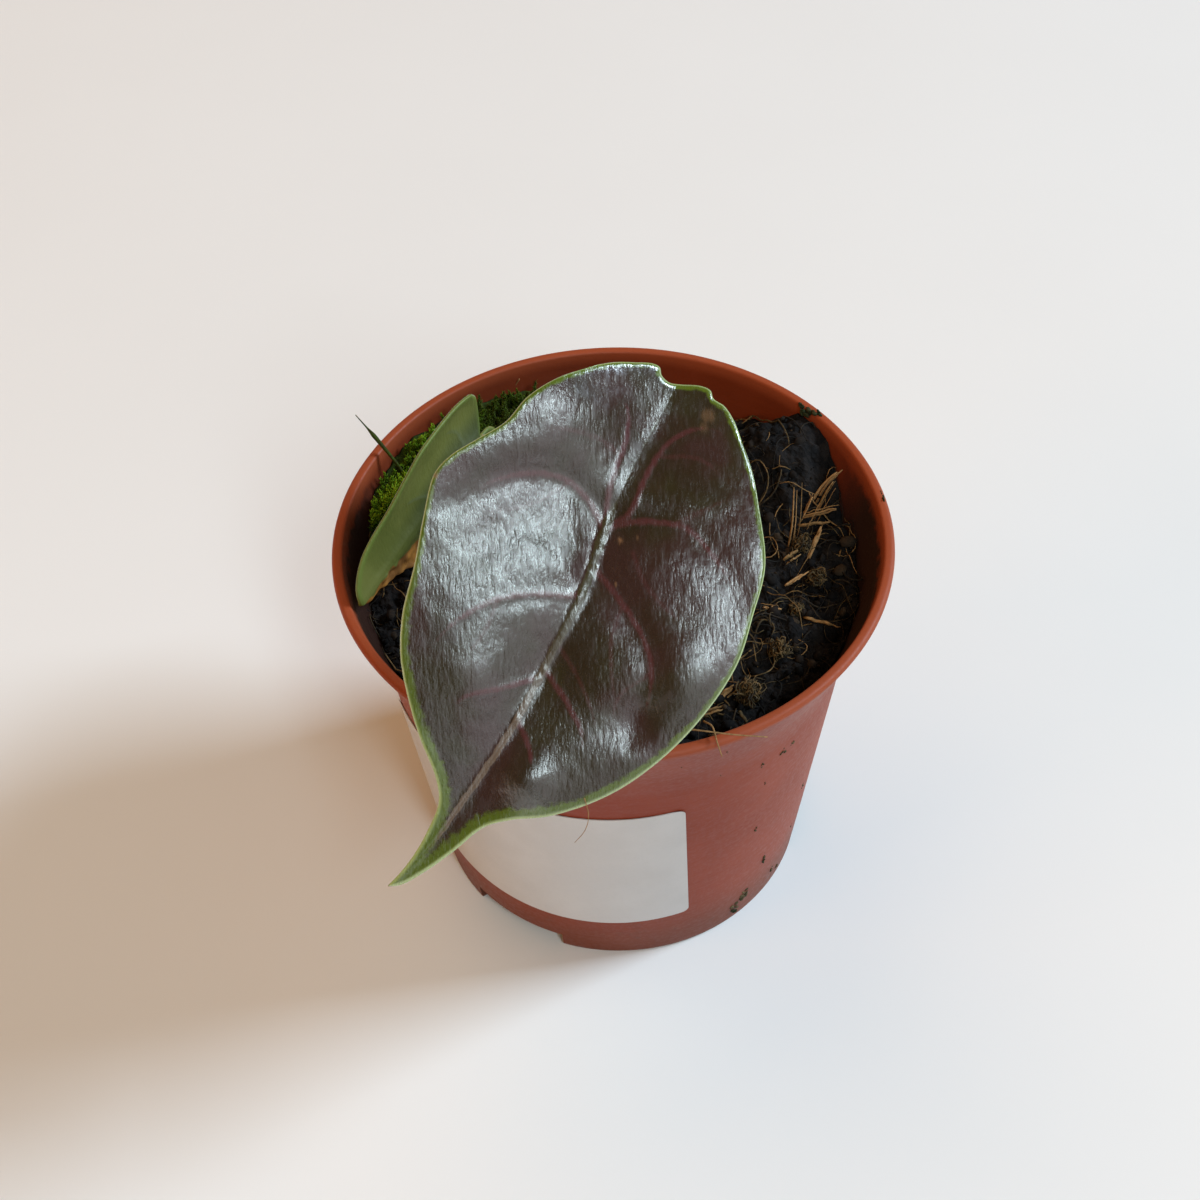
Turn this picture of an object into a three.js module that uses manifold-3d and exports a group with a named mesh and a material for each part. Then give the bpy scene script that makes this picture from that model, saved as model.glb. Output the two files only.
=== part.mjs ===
// A potted Alocasia azlanii: a young plant with two leaves, in a 6 cm nursery pot.
// Millimetres, +Z up. The origin is the centre of the pot's base, on the surface that it stands on.
// The front, with the label and the tip of the big leaf, faces -Y.
// Angles round the pot are in degrees from +X towards +Y, so the front is at -90.

import * as THREE from 'three';
import { mergeVertices } from 'three/addons/utils/BufferGeometryUtils.js';
import Module from 'manifold-3d';

const wasm = await Module();
wasm.setup();

// Driving dimensions

const CLEARANCE = 0.3;

const POT = {
  height: 50,
  wall: 0.8,
  floor: 1.2,
  facets: 60,
  // Outside of the wall, from the foot up: [radius, height]. It is straight up to the flare.
  outside: [[22.4, 0.5], [26.1, 38], [26.9, 41.5], [28.2, 45], [29.4, 48], [30, 49.3]],
  lipThickness: 1.2,
  lipRounding: 0.36,
  // The pot stands on a ring at its foot and on a disc at its centre. Between them the base is recessed.
  footWidth: 3.6,
  footEdge: 0.5,
  centreRadius: 8,
  recess: 0.5,
  innerCorner: 0.6,
};

// Notches through the foot of the wall let water out.
const NOTCH = { count: 3, firstAngle: -140.4, width: 31.4, height: 2.8, innerRadius: 18.5 };

// A paper label of 38 x 25 mm, stuck on the front left of the wall. Its sides run along the wall's line at
// the axis angle, and lie this far to the left and right of it, measured round the wall.
const LABEL = {
  axisAngle: -110,
  left: -22.2,
  right: 15.8,
  bottom: 8.3,
  height: 25,
  thickness: 0.25,
  gap: 0.09,
};

const SOIL = {
  level: 43.8,
  highest: 49.2,
  lumps: 0.7,
  rings: 9,
  segments: 48,
  // The mix is banked up against the wall, high at the back right and a little under the moss.
  banks: [
    { angle: 36, radius: 25.5, height: 6.2, along: 6.5, inward: 6.5 },
    { angle: 140, radius: 25, height: 2, along: 20, inward: 7 },
  ],
  fibres: 30,
  chips: 12,
};

// One long fibre comes out of the mix behind the big leaf and lies over the lip at the front right.
const RIM_FIBRE = [
  [1.5, -21.5, 42.5], [4.2, -24.6, 47.6], [7.2, -27.2, 50.7], [10.8, -28.1, 51], [14.3, -28.4, 50.8],
];

// A bunch of coarse fibres stands out of the bank at the back right.
const BANK_FIBRES = [
  [[19.5, 13, 44.5], [21.4, 13.9, 48.3], [23, 15.6, 50.2]],
  [[18.6, 11.5, 44.4], [20.4, 11.6, 48], [22.3, 13.2, 49.8]],
  [[20.6, 10.4, 44], [22.5, 11.4, 47.6], [24.6, 12.3, 48.9]],
  [[16.2, 8.5, 43], [17.4, 5.4, 46], [18, 2.2, 46.6]],
  [[14.6, 5.5, 43], [15.8, 3.4, 46.2], [17.6, 1.8, 45.8]],
];
const LONG_FIBRE_RADIUS = 0.28;

// A cushion that lies against the wall. At its two ends it narrows to the end radius.
const MOSS = {
  seat: 44.6,
  firstAngle: 106,
  lastAngle: 171,
  innerRadius: 19.5,
  endRadius: 26.2,
  height: 3,
  spikes: 60,
  // One thin fruiting stalk leans out over the lip.
  stalk: [[-22.3, 11, 46], [-23.6, 11.8, 48.8], [-26, 13.5, 51.8], [-28.1, 15, 54]],
  stalkRadius: 0.27,
};

const CORM = { x: 0.3, y: 1.6, top: 46, bottom: 35.5, radius: 3.5 };
const ROOT = { count: 5, reach: 15, depth: 26, radius: 0.7 };

// Each leaf's frame starts at the point where the stem meets the blade. Turn is about +Z, tilt leans the
// blade from level, and heading turns it in its own plane. Points on a blade are [along, across]: along
// runs towards the tip.
const BIG_LEAF = {
  junction: [-0.7, -20.5, 72],
  turn: 0,
  tilt: 43.2,
  heading: -123.1,
  thickness: 0.75,
  rows: 40,
  left: [
    [-12.2, -8.2], [-9.3, -10.5], [-6.4, -11.9], [-3.6, -12.4], [-0.9, -13.8], [1.5, -15], [3.6, -15.4],
    [7.4, -14.3], [11.5, -12.8], [15.8, -11.5], [19.1, -9.8], [22, -7.4], [24.8, -4.5], [27.3, -1.4],
    [29.2, 0], [32, 0.5], [34.8, 0.6], [37, 0.4], [39, 0],
  ],
  right: [
    [-13.2, 6.3], [-11.2, 8.6], [-8.9, 10.6], [-4.7, 13.8], [-0.4, 15.2], [4, 16.3], [9.6, 16.2],
    [15.1, 15.1], [20.3, 12.9], [24.8, 9.4], [27, 6.6], [29, 4.8], [32.5, 3.6], [35.8, 2.3], [38.2, 1],
    [39, 0],
  ],
  top: [
    [-12.2, -8.2], [-13.2, -7.1], [-14.3, -5.4], [-15, -4.2], [-15.1, -3.4], [-14.6, -2.9], [-14.4, -2],
    [-14.8, -1], [-15.6, 0.6], [-15.7, 1.6], [-15.2, 2.2], [-15.1, 3.4], [-14.4, 4.8], [-13.2, 6.3],
  ],
  midrib: [
    [-14.7, -1.2], [-8, -0.9], [0, 0], [5.5, 1.2], [12.7, 1.8], [20, 2.2], [27.6, 1.9], [33.5, 1.4],
    [39, 0],
  ],
  veins: [
    [[0, 0], [-3.6, -1.6], [-8.5, -2.8], [-10.6, -4.3], [-10.7, -7.2]],
    [[0, 0], [-2.4, 1.1], [-5.8, 0.7], [-9.4, 0.8], [-11.8, 2.1], [-12.8, 4.1], [-11.6, 6.5]],
    [[0, 0], [-1.6, -2.9], [-2, -5.4], [-1.1, -7.9], [1.1, -10.4], [5.3, -12.7]],
    [[6.2, 1.2], [8.3, -2.6], [10.2, -4.9], [13, -6.7], [15.9, -7.6], [18.8, -7.6]],
    [[14.6, 1.9], [17.2, -0.7], [19.4, -2.9], [22, -3.5]],
    [[0, 0], [-1.6, 1.4], [-3.2, 4], [-3.9, 6.2], [-3.2, 9.1], [-1.7, 12.2], [-0.2, 14.1]],
    [[3.4, 0.9], [4.4, 3.8], [5.7, 6.7], [7.6, 9.4], [10.4, 11.1], [14.3, 12]],
    [[13.6, 1.9], [15.2, 5.5], [16.8, 7.9], [18.8, 9]],
    [[18.8, 2.2], [20.5, 4.6], [22.4, 5.9]],
  ],
  // Height of each half's crest, and how far each margin falls below it.
  crest: 2,
  marginFall: 1.7,
  // How far the blade bends back at its tip and at its lobes, per squared millimetre of length.
  tipDroop: 0.0032,
  lobeDroop: 0.006,
  veinDepth: 0.45,
  keel: 0.7,
};

const SMALL_LEAF = {
  junction: [-16.1, 6.2, 56],
  turn: -124.6,
  tilt: 91.6,
  heading: -18.2,
  thickness: 0.7,
  rows: 24,
  left: [
    [-5.4, -4.6], [-3.4, -6], [-0.4, -6.8], [3.6, -7], [7.6, -6.5], [10.8, -5.6], [13.2, -4.2], [15, -2.8],
    [17.3, -1.7], [18.9, -1.1], [19.8, 0],
  ],
  right: [
    [-4.9, 4.9], [-3.1, 5.8], [-1.2, 6.3], [1.7, 6.8], [4.3, 7], [7.7, 6.2], [11.1, 5.3], [14.3, 4.5],
    [16.7, 3.5], [19, 1.6], [19.8, 0],
  ],
  top: [
    [-5.4, -4.6], [-5.7, -3.4], [-5, -1.9], [-3.2, -0.8], [-4.2, 0.6], [-5, 1.9], [-5.4, 3.5], [-4.9, 4.9],
  ],
  midrib: [[-3.6, -0.5], [0, 0], [5, -0.5], [10, -0.6], [15, -0.3], [19.8, 0]],
  veins: [
    [[0, 0], [-1, 3], [1.5, 5.5]],
    [[5, -0.5], [7, 2], [10, 3.8]],
    [[0, 0], [-1, -3], [1.5, -5.4]],
    [[5, -0.5], [7, -3], [10, -4.4]],
  ],
  crest: 0.7,
  marginFall: 0.3,
  tipDroop: 0.0005,
  lobeDroop: 0.005,
  veinDepth: 0.2,
  keel: 0.6,
};

// Depth of the small hollow over the place where the stem joins a blade.
const CUP_DEPTH = 0.7;

const BIG_STEM = { x: 1.9, y: 1.2, baseRadius: 1.5, topRadius: 1.05, bend: [1.6, -3.5, 57] };
const SMALL_STEM = { x: -1.5, y: 1.4, baseRadius: 1.25, topRadius: 0.8, bend: [-5.2, 1.6, 53.5] };

// Small helpers

function radians(angle) {
  return angle * Math.PI / 180;
}

function degrees(angle) {
  return angle * 180 / Math.PI;
}

function smoothstep(from, to, value) {
  const x = Math.min(Math.max((value - from) / (to - from), 0), 1);
  return x * x * (3 - 2 * x);
}

// Seeded numbers between 0 and 1, so that every run gives the same model.
function seeded(seed) {
  let state = seed;
  return () => {
    state = (state * 1664525 + 1013904223) % 4294967296;
    return state / 4294967296;
  };
}

function between(random, low, high) {
  return low + (high - low) * random();
}

function polar(radius, angle, z) {
  return new THREE.Vector3(radius * Math.cos(radians(angle)), radius * Math.sin(radians(angle)), z);
}

function curveThrough(points) {
  const vectors = points.map(([x, y, z = 0]) => new THREE.Vector3(x, y, z));
  return new THREE.CatmullRomCurve3(vectors, false, 'centripetal');
}

// Merges equal points and drops the triangles that this closes up.
function welded(geometry) {
  const bare = geometry.clone();
  bare.deleteAttribute('normal');
  bare.deleteAttribute('uv');
  const merged = mergeVertices(bare, 1e-4);
  const corners = merged.index.array;
  const kept = [];
  for (let i = 0; i < corners.length; i += 3) {
    const [a, b, c] = [corners[i], corners[i + 1], corners[i + 2]];
    if (a !== b && b !== c && c !== a) kept.push(a, b, c);
  }
  merged.setIndex(kept);
  return merged;
}

function toSolid(geometry) {
  const mesh = welded(geometry);
  return new wasm.Manifold(new wasm.Mesh({
    numProp: 3,
    vertProperties: mesh.attributes.position.array,
    triVerts: new Uint32Array(mesh.index.array),
  }));
}

function toGeometry(solid) {
  const mesh = solid.getMesh();
  const geometry = new THREE.BufferGeometry();
  geometry.setAttribute('position', new THREE.BufferAttribute(mesh.vertProperties, 3));
  geometry.setIndex(new THREE.BufferAttribute(mesh.triVerts, 1));
  return geometry;
}

function fused(geometries) {
  return geometries.map(toSolid).reduce((whole, piece) => whole.add(piece));
}

// A closed body from its points and the point numbers of its triangles, three to each.
function fromTriangles(points, triangles) {
  const geometry = new THREE.BufferGeometry().setFromPoints(points);
  geometry.setIndex(triangles);
  return welded(geometry);
}

// A closed sheet between two grids of points. Both faces are split along the same diagonals.
function closedSheet(rows, columns, upper, lower) {
  const points = [];
  const triangles = [];
  const perFace = (rows + 1) * (columns + 1);
  for (const face of [upper, lower]) {
    for (let i = 0; i <= rows; i++) {
      for (let j = 0; j <= columns; j++) points.push(face(i, j));
    }
  }
  const at = (i, j) => i * (columns + 1) + j;
  for (let i = 0; i < rows; i++) {
    for (let j = 0; j < columns; j++) {
      const [a, b, c, d] = [at(i, j), at(i + 1, j), at(i + 1, j + 1), at(i, j + 1)];
      triangles.push(a, b, c, a, c, d);
      triangles.push(perFace + a, perFace + c, perFace + b, perFace + a, perFace + d, perFace + c);
    }
  }
  const border = [];
  for (let j = 0; j < columns; j++) {
    border.push([at(0, j), at(0, j + 1)], [at(rows, j + 1), at(rows, j)]);
  }
  for (let i = 0; i < rows; i++) {
    border.push([at(i + 1, 0), at(i, 0)], [at(i, columns), at(i + 1, columns)]);
  }
  for (const [a, b] of border) triangles.push(a, b, perFace + b, a, perFace + b, perFace + a);
  return fromTriangles(points, triangles);
}

// A round bar along a curve, with its own radius at each step, closed by a flat face at each end.
function taperedBar(curve, radiusAt, steps, sides) {
  const { normals, binormals } = curve.computeFrenetFrames(steps, false);
  const points = [curve.getPointAt(0), curve.getPointAt(1)];
  const triangles = [];
  for (let i = 0; i <= steps; i++) {
    const centre = curve.getPointAt(i / steps);
    const radius = radiusAt(i / steps);
    for (let j = 0; j < sides; j++) {
      const angle = 2 * Math.PI * j / sides;
      points.push(centre.clone()
        .addScaledVector(normals[i], radius * Math.cos(angle))
        .addScaledVector(binormals[i], radius * Math.sin(angle)));
    }
  }
  const at = (i, j) => 2 + i * sides + j % sides;
  for (let j = 0; j < sides; j++) {
    triangles.push(0, at(0, j + 1), at(0, j), 1, at(steps, j), at(steps, j + 1));
    for (let i = 0; i < steps; i++) {
      triangles.push(at(i, j), at(i, j + 1), at(i + 1, j + 1), at(i, j), at(i + 1, j + 1), at(i + 1, j));
    }
  }
  return fromTriangles(points, triangles);
}

function piece(name, geometry, colour, roughness) {
  const material = new THREE.MeshStandardMaterial({ color: colour, roughness, metalness: 0 });
  const mesh = new THREE.Mesh(geometry, material);
  mesh.name = name;
  return mesh;
}

// Pot

// Radius of a line of [radius, height] points at a height.
function radiusAlong(line, z) {
  const next = Math.max(line.findIndex(([, height]) => height >= z), 1);
  const [[lowRadius, low], [highRadius, high]] = [line[next - 1], line[next]];
  return lowRadius + (highRadius - lowRadius) * (z - low) / (high - low);
}

// Radius of the inside of the wall at a height. At the top the thicker lip stands further in.
function insideRadius(z) {
  const lipRadius = POT.outside[POT.outside.length - 1][0] - POT.lipThickness;
  return Math.min(radiusAlong(POT.outside, z) - POT.wall, lipRadius);
}

function notchCutter(angle) {
  const margin = 1;
  const outer = radiusAlong(POT.outside, NOTCH.height) + margin;
  const shape = new THREE.Shape();
  shape.absarc(0, 0, outer, radians(angle), radians(angle + NOTCH.width), false);
  shape.absarc(0, 0, NOTCH.innerRadius, radians(angle + NOTCH.width), radians(angle), true);
  const settings = { depth: NOTCH.height + margin, bevelEnabled: false, curveSegments: 5 };
  return new THREE.ExtrudeGeometry(shape, settings).translate(0, 0, -margin);
}

function pot() {
  const { height, floor, outside, lipThickness, lipRounding, footWidth, recess, innerCorner } = POT;
  const footRadius = outside[0][0];
  const rimRadius = outside[outside.length - 1][0];
  const innerWall = outside.slice(1, -1).map(([radius, z]) => [radius - POT.wall, z]).reverse();
  const profile = [
    [0, 0],
    [POT.centreRadius, 0],
    [POT.centreRadius + recess, recess],
    [footRadius - footWidth - recess, recess],
    [footRadius - footWidth, 0],
    [footRadius - POT.footEdge, 0],
    ...outside,
    [rimRadius - lipRounding / 4, height - lipRounding / 3],
    [rimRadius - lipRounding, height],
    [rimRadius - lipThickness + lipRounding / 2, height],
    [rimRadius - lipThickness, height - lipRounding],
    ...innerWall,
    [insideRadius(floor), floor + innerCorner],
    [insideRadius(floor) - innerCorner, floor],
    [0, floor],
  ];
  const points = profile.map(([radius, z]) => new THREE.Vector2(radius, z));
  let solid = toSolid(new THREE.LatheGeometry(points, POT.facets).rotateX(Math.PI / 2));
  for (let k = 0; k < NOTCH.count; k++) {
    solid = solid.subtract(toSolid(notchCutter(NOTCH.firstAngle + k * 360 / NOTCH.count)));
  }
  return toGeometry(solid);
}

// The label is flat paper on a cone: its place is found on the cone laid out flat, from the cone's apex.
function label() {
  const [[footRadius, foot], [flareRadius, flare]] = POT.outside;
  const slope = Math.atan2(flareRadius - footRadius, flare - foot);
  const spread = Math.sin(slope);
  const bottom = (footRadius + (LABEL.bottom - foot) * Math.tan(slope)) / spread;
  const columns = 20;
  const face = (offset) => (row, column) => {
    const aside = LABEL.left + (LABEL.right - LABEL.left) * column / columns;
    const down = bottom + LABEL.height * row;
    const angle = LABEL.axisAngle + degrees(Math.atan2(aside, down) / spread);
    const radius = Math.hypot(aside, down) * spread;
    return polar(radius + offset, angle, foot + (radius - footRadius) / Math.tan(slope));
  };
  return closedSheet(1, columns, face(LABEL.gap), face(LABEL.gap + LABEL.thickness));
}

// Soil

// A soft random relief: waves of three lengths, each in its own direction.
function lumpiness(x, y) {
  return Math.sin(0.55 * x + 0.3 * y + 1.1) * 0.4
    + Math.sin(-0.35 * x + 0.8 * y + 2.3) * 0.35
    + Math.sin(1.5 * x - 1.1 * y) * Math.cos(0.9 * x + 1.7 * y) * 0.45;
}

function soilHeight(x, y) {
  let height = SOIL.level + SOIL.lumps * lumpiness(x, y);
  for (const bank of SOIL.banks) {
    const angle = radians(bank.angle);
    const inward = (x * Math.cos(angle) + y * Math.sin(angle) - bank.radius) / bank.inward;
    const along = (y * Math.cos(angle) - x * Math.sin(angle)) / bank.along;
    height += bank.height * Math.exp(-inward * inward - along * along);
  }
  return Math.min(height, SOIL.highest);
}

// The mix fills the pot. Its points go from the middle of the floor out to the wall, up the wall, and back
// in over the top in rings.
function soilBody() {
  const { rings, segments } = SOIL;
  const bottom = POT.floor + CLEARANCE;
  const touching = (z) => insideRadius(z) - CLEARANCE;
  const [, [, wallBend], [, flareBend]] = POT.outside;
  const layers = [
    [touching(bottom) - POT.innerCorner, bottom],
    [touching(wallBend), wallBend],
    [touching(flareBend), flareBend],
  ];
  const points = [new THREE.Vector3(0, 0, bottom), new THREE.Vector3(0, 0, soilHeight(0, 0))];
  for (const [radius, z] of layers) {
    for (let j = 0; j < segments; j++) {
      points.push(polar(radius, 360 * j / segments, z));
    }
  }
  for (let ring = rings; ring >= 1; ring--) {
    for (let j = 0; j < segments; j++) {
      const angle = 360 * j / segments;
      const atWall = polar(touching(SOIL.level), angle, 0);
      const rim = soilHeight(atWall.x, atWall.y);
      const point = polar(touching(rim) * ring / rings, angle, rim);
      if (ring < rings) point.z = soilHeight(point.x, point.y);
      points.push(point);
    }
  }
  const count = layers.length + rings;
  const at = (i, j) => 2 + i * segments + j % segments;
  const triangles = [];
  for (let j = 0; j < segments; j++) {
    triangles.push(0, at(0, j + 1), at(0, j), 1, at(count - 1, j), at(count - 1, j + 1));
    for (let i = 0; i < count - 1; i++) {
      triangles.push(at(i, j), at(i, j + 1), at(i + 1, j + 1), at(i, j), at(i + 1, j + 1), at(i + 1, j));
    }
  }
  return fromTriangles(points, triangles);
}

// Where fibres and chips stand: clear of the corm, of the moss and of the wall.
function soilSpots(random, count, reach) {
  const spots = [];
  const besideMoss = 12;
  while (spots.length < count) {
    const angle = between(random, 0, 360);
    const radius = Math.sqrt(random()) * (insideRadius(SOIL.level) - reach);
    const spot = polar(radius, angle, 0);
    const nearMoss = angle > MOSS.firstAngle - besideMoss && angle < MOSS.lastAngle + besideMoss;
    const nearCorm = Math.hypot(spot.x - CORM.x, spot.y - CORM.y) < CORM.radius + reach;
    if (!nearMoss && !nearCorm) spots.push(spot);
  }
  return spots;
}

// A coir fibre springs from the mix in a low arc and ends in the air.
function coirFibre(spot, random) {
  const heading = between(random, 0, 2 * Math.PI);
  const length = between(random, 3.5, 6);
  const lift = between(random, 0.6, 2);
  const radius = between(random, 0.2, 0.28);
  const along = new THREE.Vector3(Math.cos(heading), Math.sin(heading), 0);
  const aside = new THREE.Vector3(-along.y, along.x, 0).multiplyScalar(between(random, -0.7, 0.7));
  const ground = soilHeight(spot.x, spot.y);
  const stations = [[-0.5, -1.6], [-0.2, 0.2], [0.2, lift], [0.5, lift * 0.8]];
  const path = stations.map(([share, height]) => {
    const point = spot.clone().addScaledVector(along, share * length);
    point.addScaledVector(aside, 4 * share * share);
    return [point.x, point.y, ground + height];
  });
  return taperedBar(curveThrough(path), () => radius, 4, 3);
}

function coirChip(spot, random) {
  const size = [between(random, 2, 3.6), between(random, 0.9, 1.6), between(random, 0.8, 1.2)];
  const chip = new THREE.BoxGeometry(...size);
  chip.rotateX(between(random, -0.5, 0.5)).rotateY(between(random, -0.5, 0.2));
  chip.rotateZ(between(random, 0, Math.PI));
  return chip.translate(spot.x, spot.y, soilHeight(spot.x, spot.y) + 0.25);
}

function soil(hole) {
  const random = seeded(7);
  const pieces = [soilBody()];
  for (const spot of soilSpots(random, SOIL.fibres, 4.5)) pieces.push(coirFibre(spot, random));
  for (const spot of soilSpots(random, SOIL.chips, 3)) pieces.push(coirChip(spot, random));
  for (const path of [RIM_FIBRE, ...BANK_FIBRES]) {
    pieces.push(taperedBar(curveThrough(path), () => LONG_FIBRE_RADIUS, 8, 5));
  }
  return toGeometry(fused(pieces).subtract(hole).subtract(mossSeat()));
}

// Moss

// The cushion follows the wall. Share runs from 0 at its first end to 1 at its last.
function mossInside(share) {
  const swell = Math.sin(Math.PI * share) ** 0.5;
  const wave = 0.5 * Math.sin(9 * share + 1);
  return MOSS.endRadius - (MOSS.endRadius - MOSS.innerRadius + wave) * swell;
}

function mossAngle(share) {
  return MOSS.firstAngle + (MOSS.lastAngle - MOSS.firstAngle) * share;
}

function mossHeight(share, across) {
  const dome = (Math.sin(Math.PI * share) ** 0.5) * (1 - (1 - across) ** 4 * 0.8);
  return 0.5 + MOSS.height * dome + 0.35 * Math.sin(23 * share + 4 * across) * Math.sin(5 * across + 1);
}

// The flat place that the moss rests on, cut a little wider than the moss and open above and to the wall.
function mossSeat() {
  const columns = 18;
  const open = 8;
  const widening = 2.4;
  const face = (z) => (row, column) => {
    const share = column / columns;
    const radius = row === 0 ? mossInside(share) - CLEARANCE : insideRadius(MOSS.seat) + open;
    return polar(radius, mossAngle(share) + (share - 0.5) * widening, z);
  };
  return toSolid(closedSheet(1, columns, face(MOSS.seat + open), face(MOSS.seat)));
}

function moss() {
  const random = seeded(31);
  const [rows, columns] = [5, 22];
  const base = MOSS.seat + CLEARANCE;
  const place = (share, across, height) => {
    const outer = insideRadius(base + height) - CLEARANCE;
    const inner = mossInside(share);
    return polar(inner + (outer - inner) * across, mossAngle(share), base + height);
  };
  const top = (share, across) => place(share, across, mossHeight(share, across));
  const upper = (row, column) => top(column / columns, row / rows);
  const lower = (row, column) => place(column / columns, row / rows, 0);
  const pieces = [closedSheet(rows, columns, upper, lower)];
  for (let k = 0; k < MOSS.spikes; k++) {
    const root = top(between(random, 0.05, 0.95), between(random, 0.1, 0.86));
    const height = between(random, 1.5, 2.3);
    const spike = new THREE.ConeGeometry(between(random, 0.4, 0.6), height, 3);
    spike.translate(0, 0.15 * height, 0).rotateX(Math.PI / 2).rotateY(between(random, -0.5, 0.5));
    spike.rotateX(between(random, -0.5, 0.5)).translate(root.x, root.y, root.z);
    pieces.push(spike);
  }
  const stalkRadius = (share) => MOSS.stalkRadius * (1 - 0.25 * share);
  pieces.push(taperedBar(curveThrough(MOSS.stalk), stalkRadius, 7, 5));
  return toGeometry(fused(pieces));
}

// Corm and roots

// The roots leave the corm evenly all round, spread and turn down. Each has its own reach and depth.
function rootPaths(extra) {
  const paths = [];
  const start = (CORM.top + CORM.bottom) / 2;
  const stations = [[0.05, 0.02], [0.35, 0.12], [0.7, 0.42], [0.85, 0.75], [0.95, 1]];
  for (let k = 0; k < ROOT.count; k++) {
    const angle = 40 + 360 * k / ROOT.count;
    const reach = ROOT.reach + 2.5 * Math.sin(2.4 * k) + extra;
    const depth = ROOT.depth + 7 * Math.cos(1.9 * k) + extra;
    paths.push(stations.map(([out, down]) => {
      const point = polar(reach * out, angle + 24 * down, start - (depth - CORM.top + start) * down);
      return [CORM.x + point.x, CORM.y + point.y, point.z];
    }));
  }
  return paths;
}

// The corm ends in a flat top that the stems stand on. Grown by a clearance, it is its hole in the mix.
function cormAndRoots(clearance) {
  const { radius, top, bottom } = CORM;
  const middle = (top + bottom) / 2;
  const profile = [
    [0, bottom - clearance],
    [radius * 0.55 + clearance, bottom + 0.6 - clearance],
    [radius + clearance, middle - 1.5],
    [radius + clearance, middle + 1],
    [radius * 0.86 + clearance, top - 2],
    [radius * 0.94 + clearance, top - 0.3 + clearance],
    [radius * 0.9, top + clearance],
    [0, top + clearance],
  ];
  const corm = new THREE.LatheGeometry(profile.map(([r, z]) => new THREE.Vector2(r, z)), 16);
  corm.rotateX(Math.PI / 2).translate(CORM.x, CORM.y, 0);
  const rootRadius = (share) => ROOT.radius * (1 - 0.45 * share) + clearance;
  const roots = rootPaths(clearance).map((path) => taperedBar(curveThrough(path), rootRadius, 8, 5));
  return fused([corm, ...roots]);
}

// Leaves

// The nearest distance from a point to a vein, and how far along the vein that is, from 0 to 1.
function nearestOn(samples, along, across) {
  let best = { distance: Infinity, share: 0 };
  samples.forEach((point, i) => {
    const distance = Math.hypot(point.x - along, point.y - across);
    if (distance < best.distance) best = { distance, share: i / (samples.length - 1) };
  });
  return best;
}

// Both faces of a blade, as functions of a grid of rows from the lobes to the tip, and columns from the
// left margin over the midrib to the right margin.
function bladeFaces(leaf) {
  const [left, right, top, midrib] = [leaf.left, leaf.right, leaf.top, leaf.midrib].map(curveThrough);
  const veins = leaf.veins.map((points) => curveThrough(points).getSpacedPoints(24));
  const midribSamples = midrib.getSpacedPoints(60);
  const length = leaf.right[leaf.right.length - 1][0];

  const place = (down, over) => {
    const edge = over < 0 ? left : right;
    const margin = edge.getPointAt(down);
    const middle = midrib.getPointAt(down);
    const point = middle.clone().lerp(margin, Math.abs(over));
    const corner = midrib.getPointAt(0).lerp(edge.getPointAt(0), Math.abs(over));
    const lobes = top.getPointAt((over + 1) / 2);
    const pull = (1 - smoothstep(0, 0.4, down));
    return point.addScaledVector(lobes.sub(corner), pull);
  };

  const rise = (point, over) => {
    const across = Math.abs(over);
    const body = 1 - smoothstep(0.5, 0.82, point.x / length);
    const wing = leaf.crest * Math.sin(Math.PI * across / 1.24) - leaf.marginFall * across ** 5;
    const droop = (point.x > 0 ? leaf.tipDroop : leaf.lobeDroop) * point.x * point.x;
    let sunk = 0;
    for (const vein of veins) {
      const { distance, share } = nearestOn(vein, point.x, point.y);
      sunk = Math.max(sunk, Math.exp(-((distance / 1.5) ** 2)) * (1 - share));
    }
    const cup = CUP_DEPTH * Math.exp(-point.lengthSq() / 5);
    return wing * body - droop - leaf.veinDepth * sunk * body - cup;
  };

  const upper = (down, over) => {
    const point = place(down, over);
    point.z = rise(point, over);
    return point;
  };
  const lower = (down, over) => {
    const point = upper(down, over);
    const { distance } = nearestOn(midribSamples, point.x, point.y);
    const keel = leaf.keel * Math.exp(-((distance / 0.8) ** 2)) * (1 - 0.7 * down);
    point.z -= leaf.thickness + (point.x > -1 ? keel : keel * 0.4);
    return point;
  };
  return { upper, lower };
}

// Columns of a blade's grid from the midrib to the margin, closest where the surface bends most.
const FINE_COLUMNS = [0.04, 0.09, 0.16, 0.25, 0.35, 0.45, 0.55, 0.65, 0.75, 0.84, 0.92, 1];
const COARSE_COLUMNS = [0.09, 0.25, 0.45, 0.65, 0.84, 1];

function blade(leaf, shares) {
  const columns = [...shares.map((share) => -share).reverse(), 0, ...shares];
  const { upper, lower } = bladeFaces(leaf);
  const grid = (face) => (row, column) => face(row / leaf.rows, columns[column]);
  return closedSheet(leaf.rows, columns.length - 1, grid(upper), grid(lower));
}

// A blade in its place, as a mesh in nested turned groups.
function placed(leaf, mesh) {
  mesh.rotation.z = radians(leaf.heading);
  const tilted = new THREE.Group();
  tilted.rotation.x = radians(leaf.tilt);
  tilted.add(mesh);
  const turned = new THREE.Group();
  turned.rotation.z = radians(leaf.turn);
  turned.position.set(...leaf.junction);
  turned.add(tilted);
  return turned;
}

// The direction that a blade's upper face looks in.
function facing(leaf) {
  const up = new THREE.Vector3(0, 0, 1);
  return up.applyEuler(new THREE.Euler(radians(leaf.tilt), 0, radians(leaf.turn), 'ZXY'));
}

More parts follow.
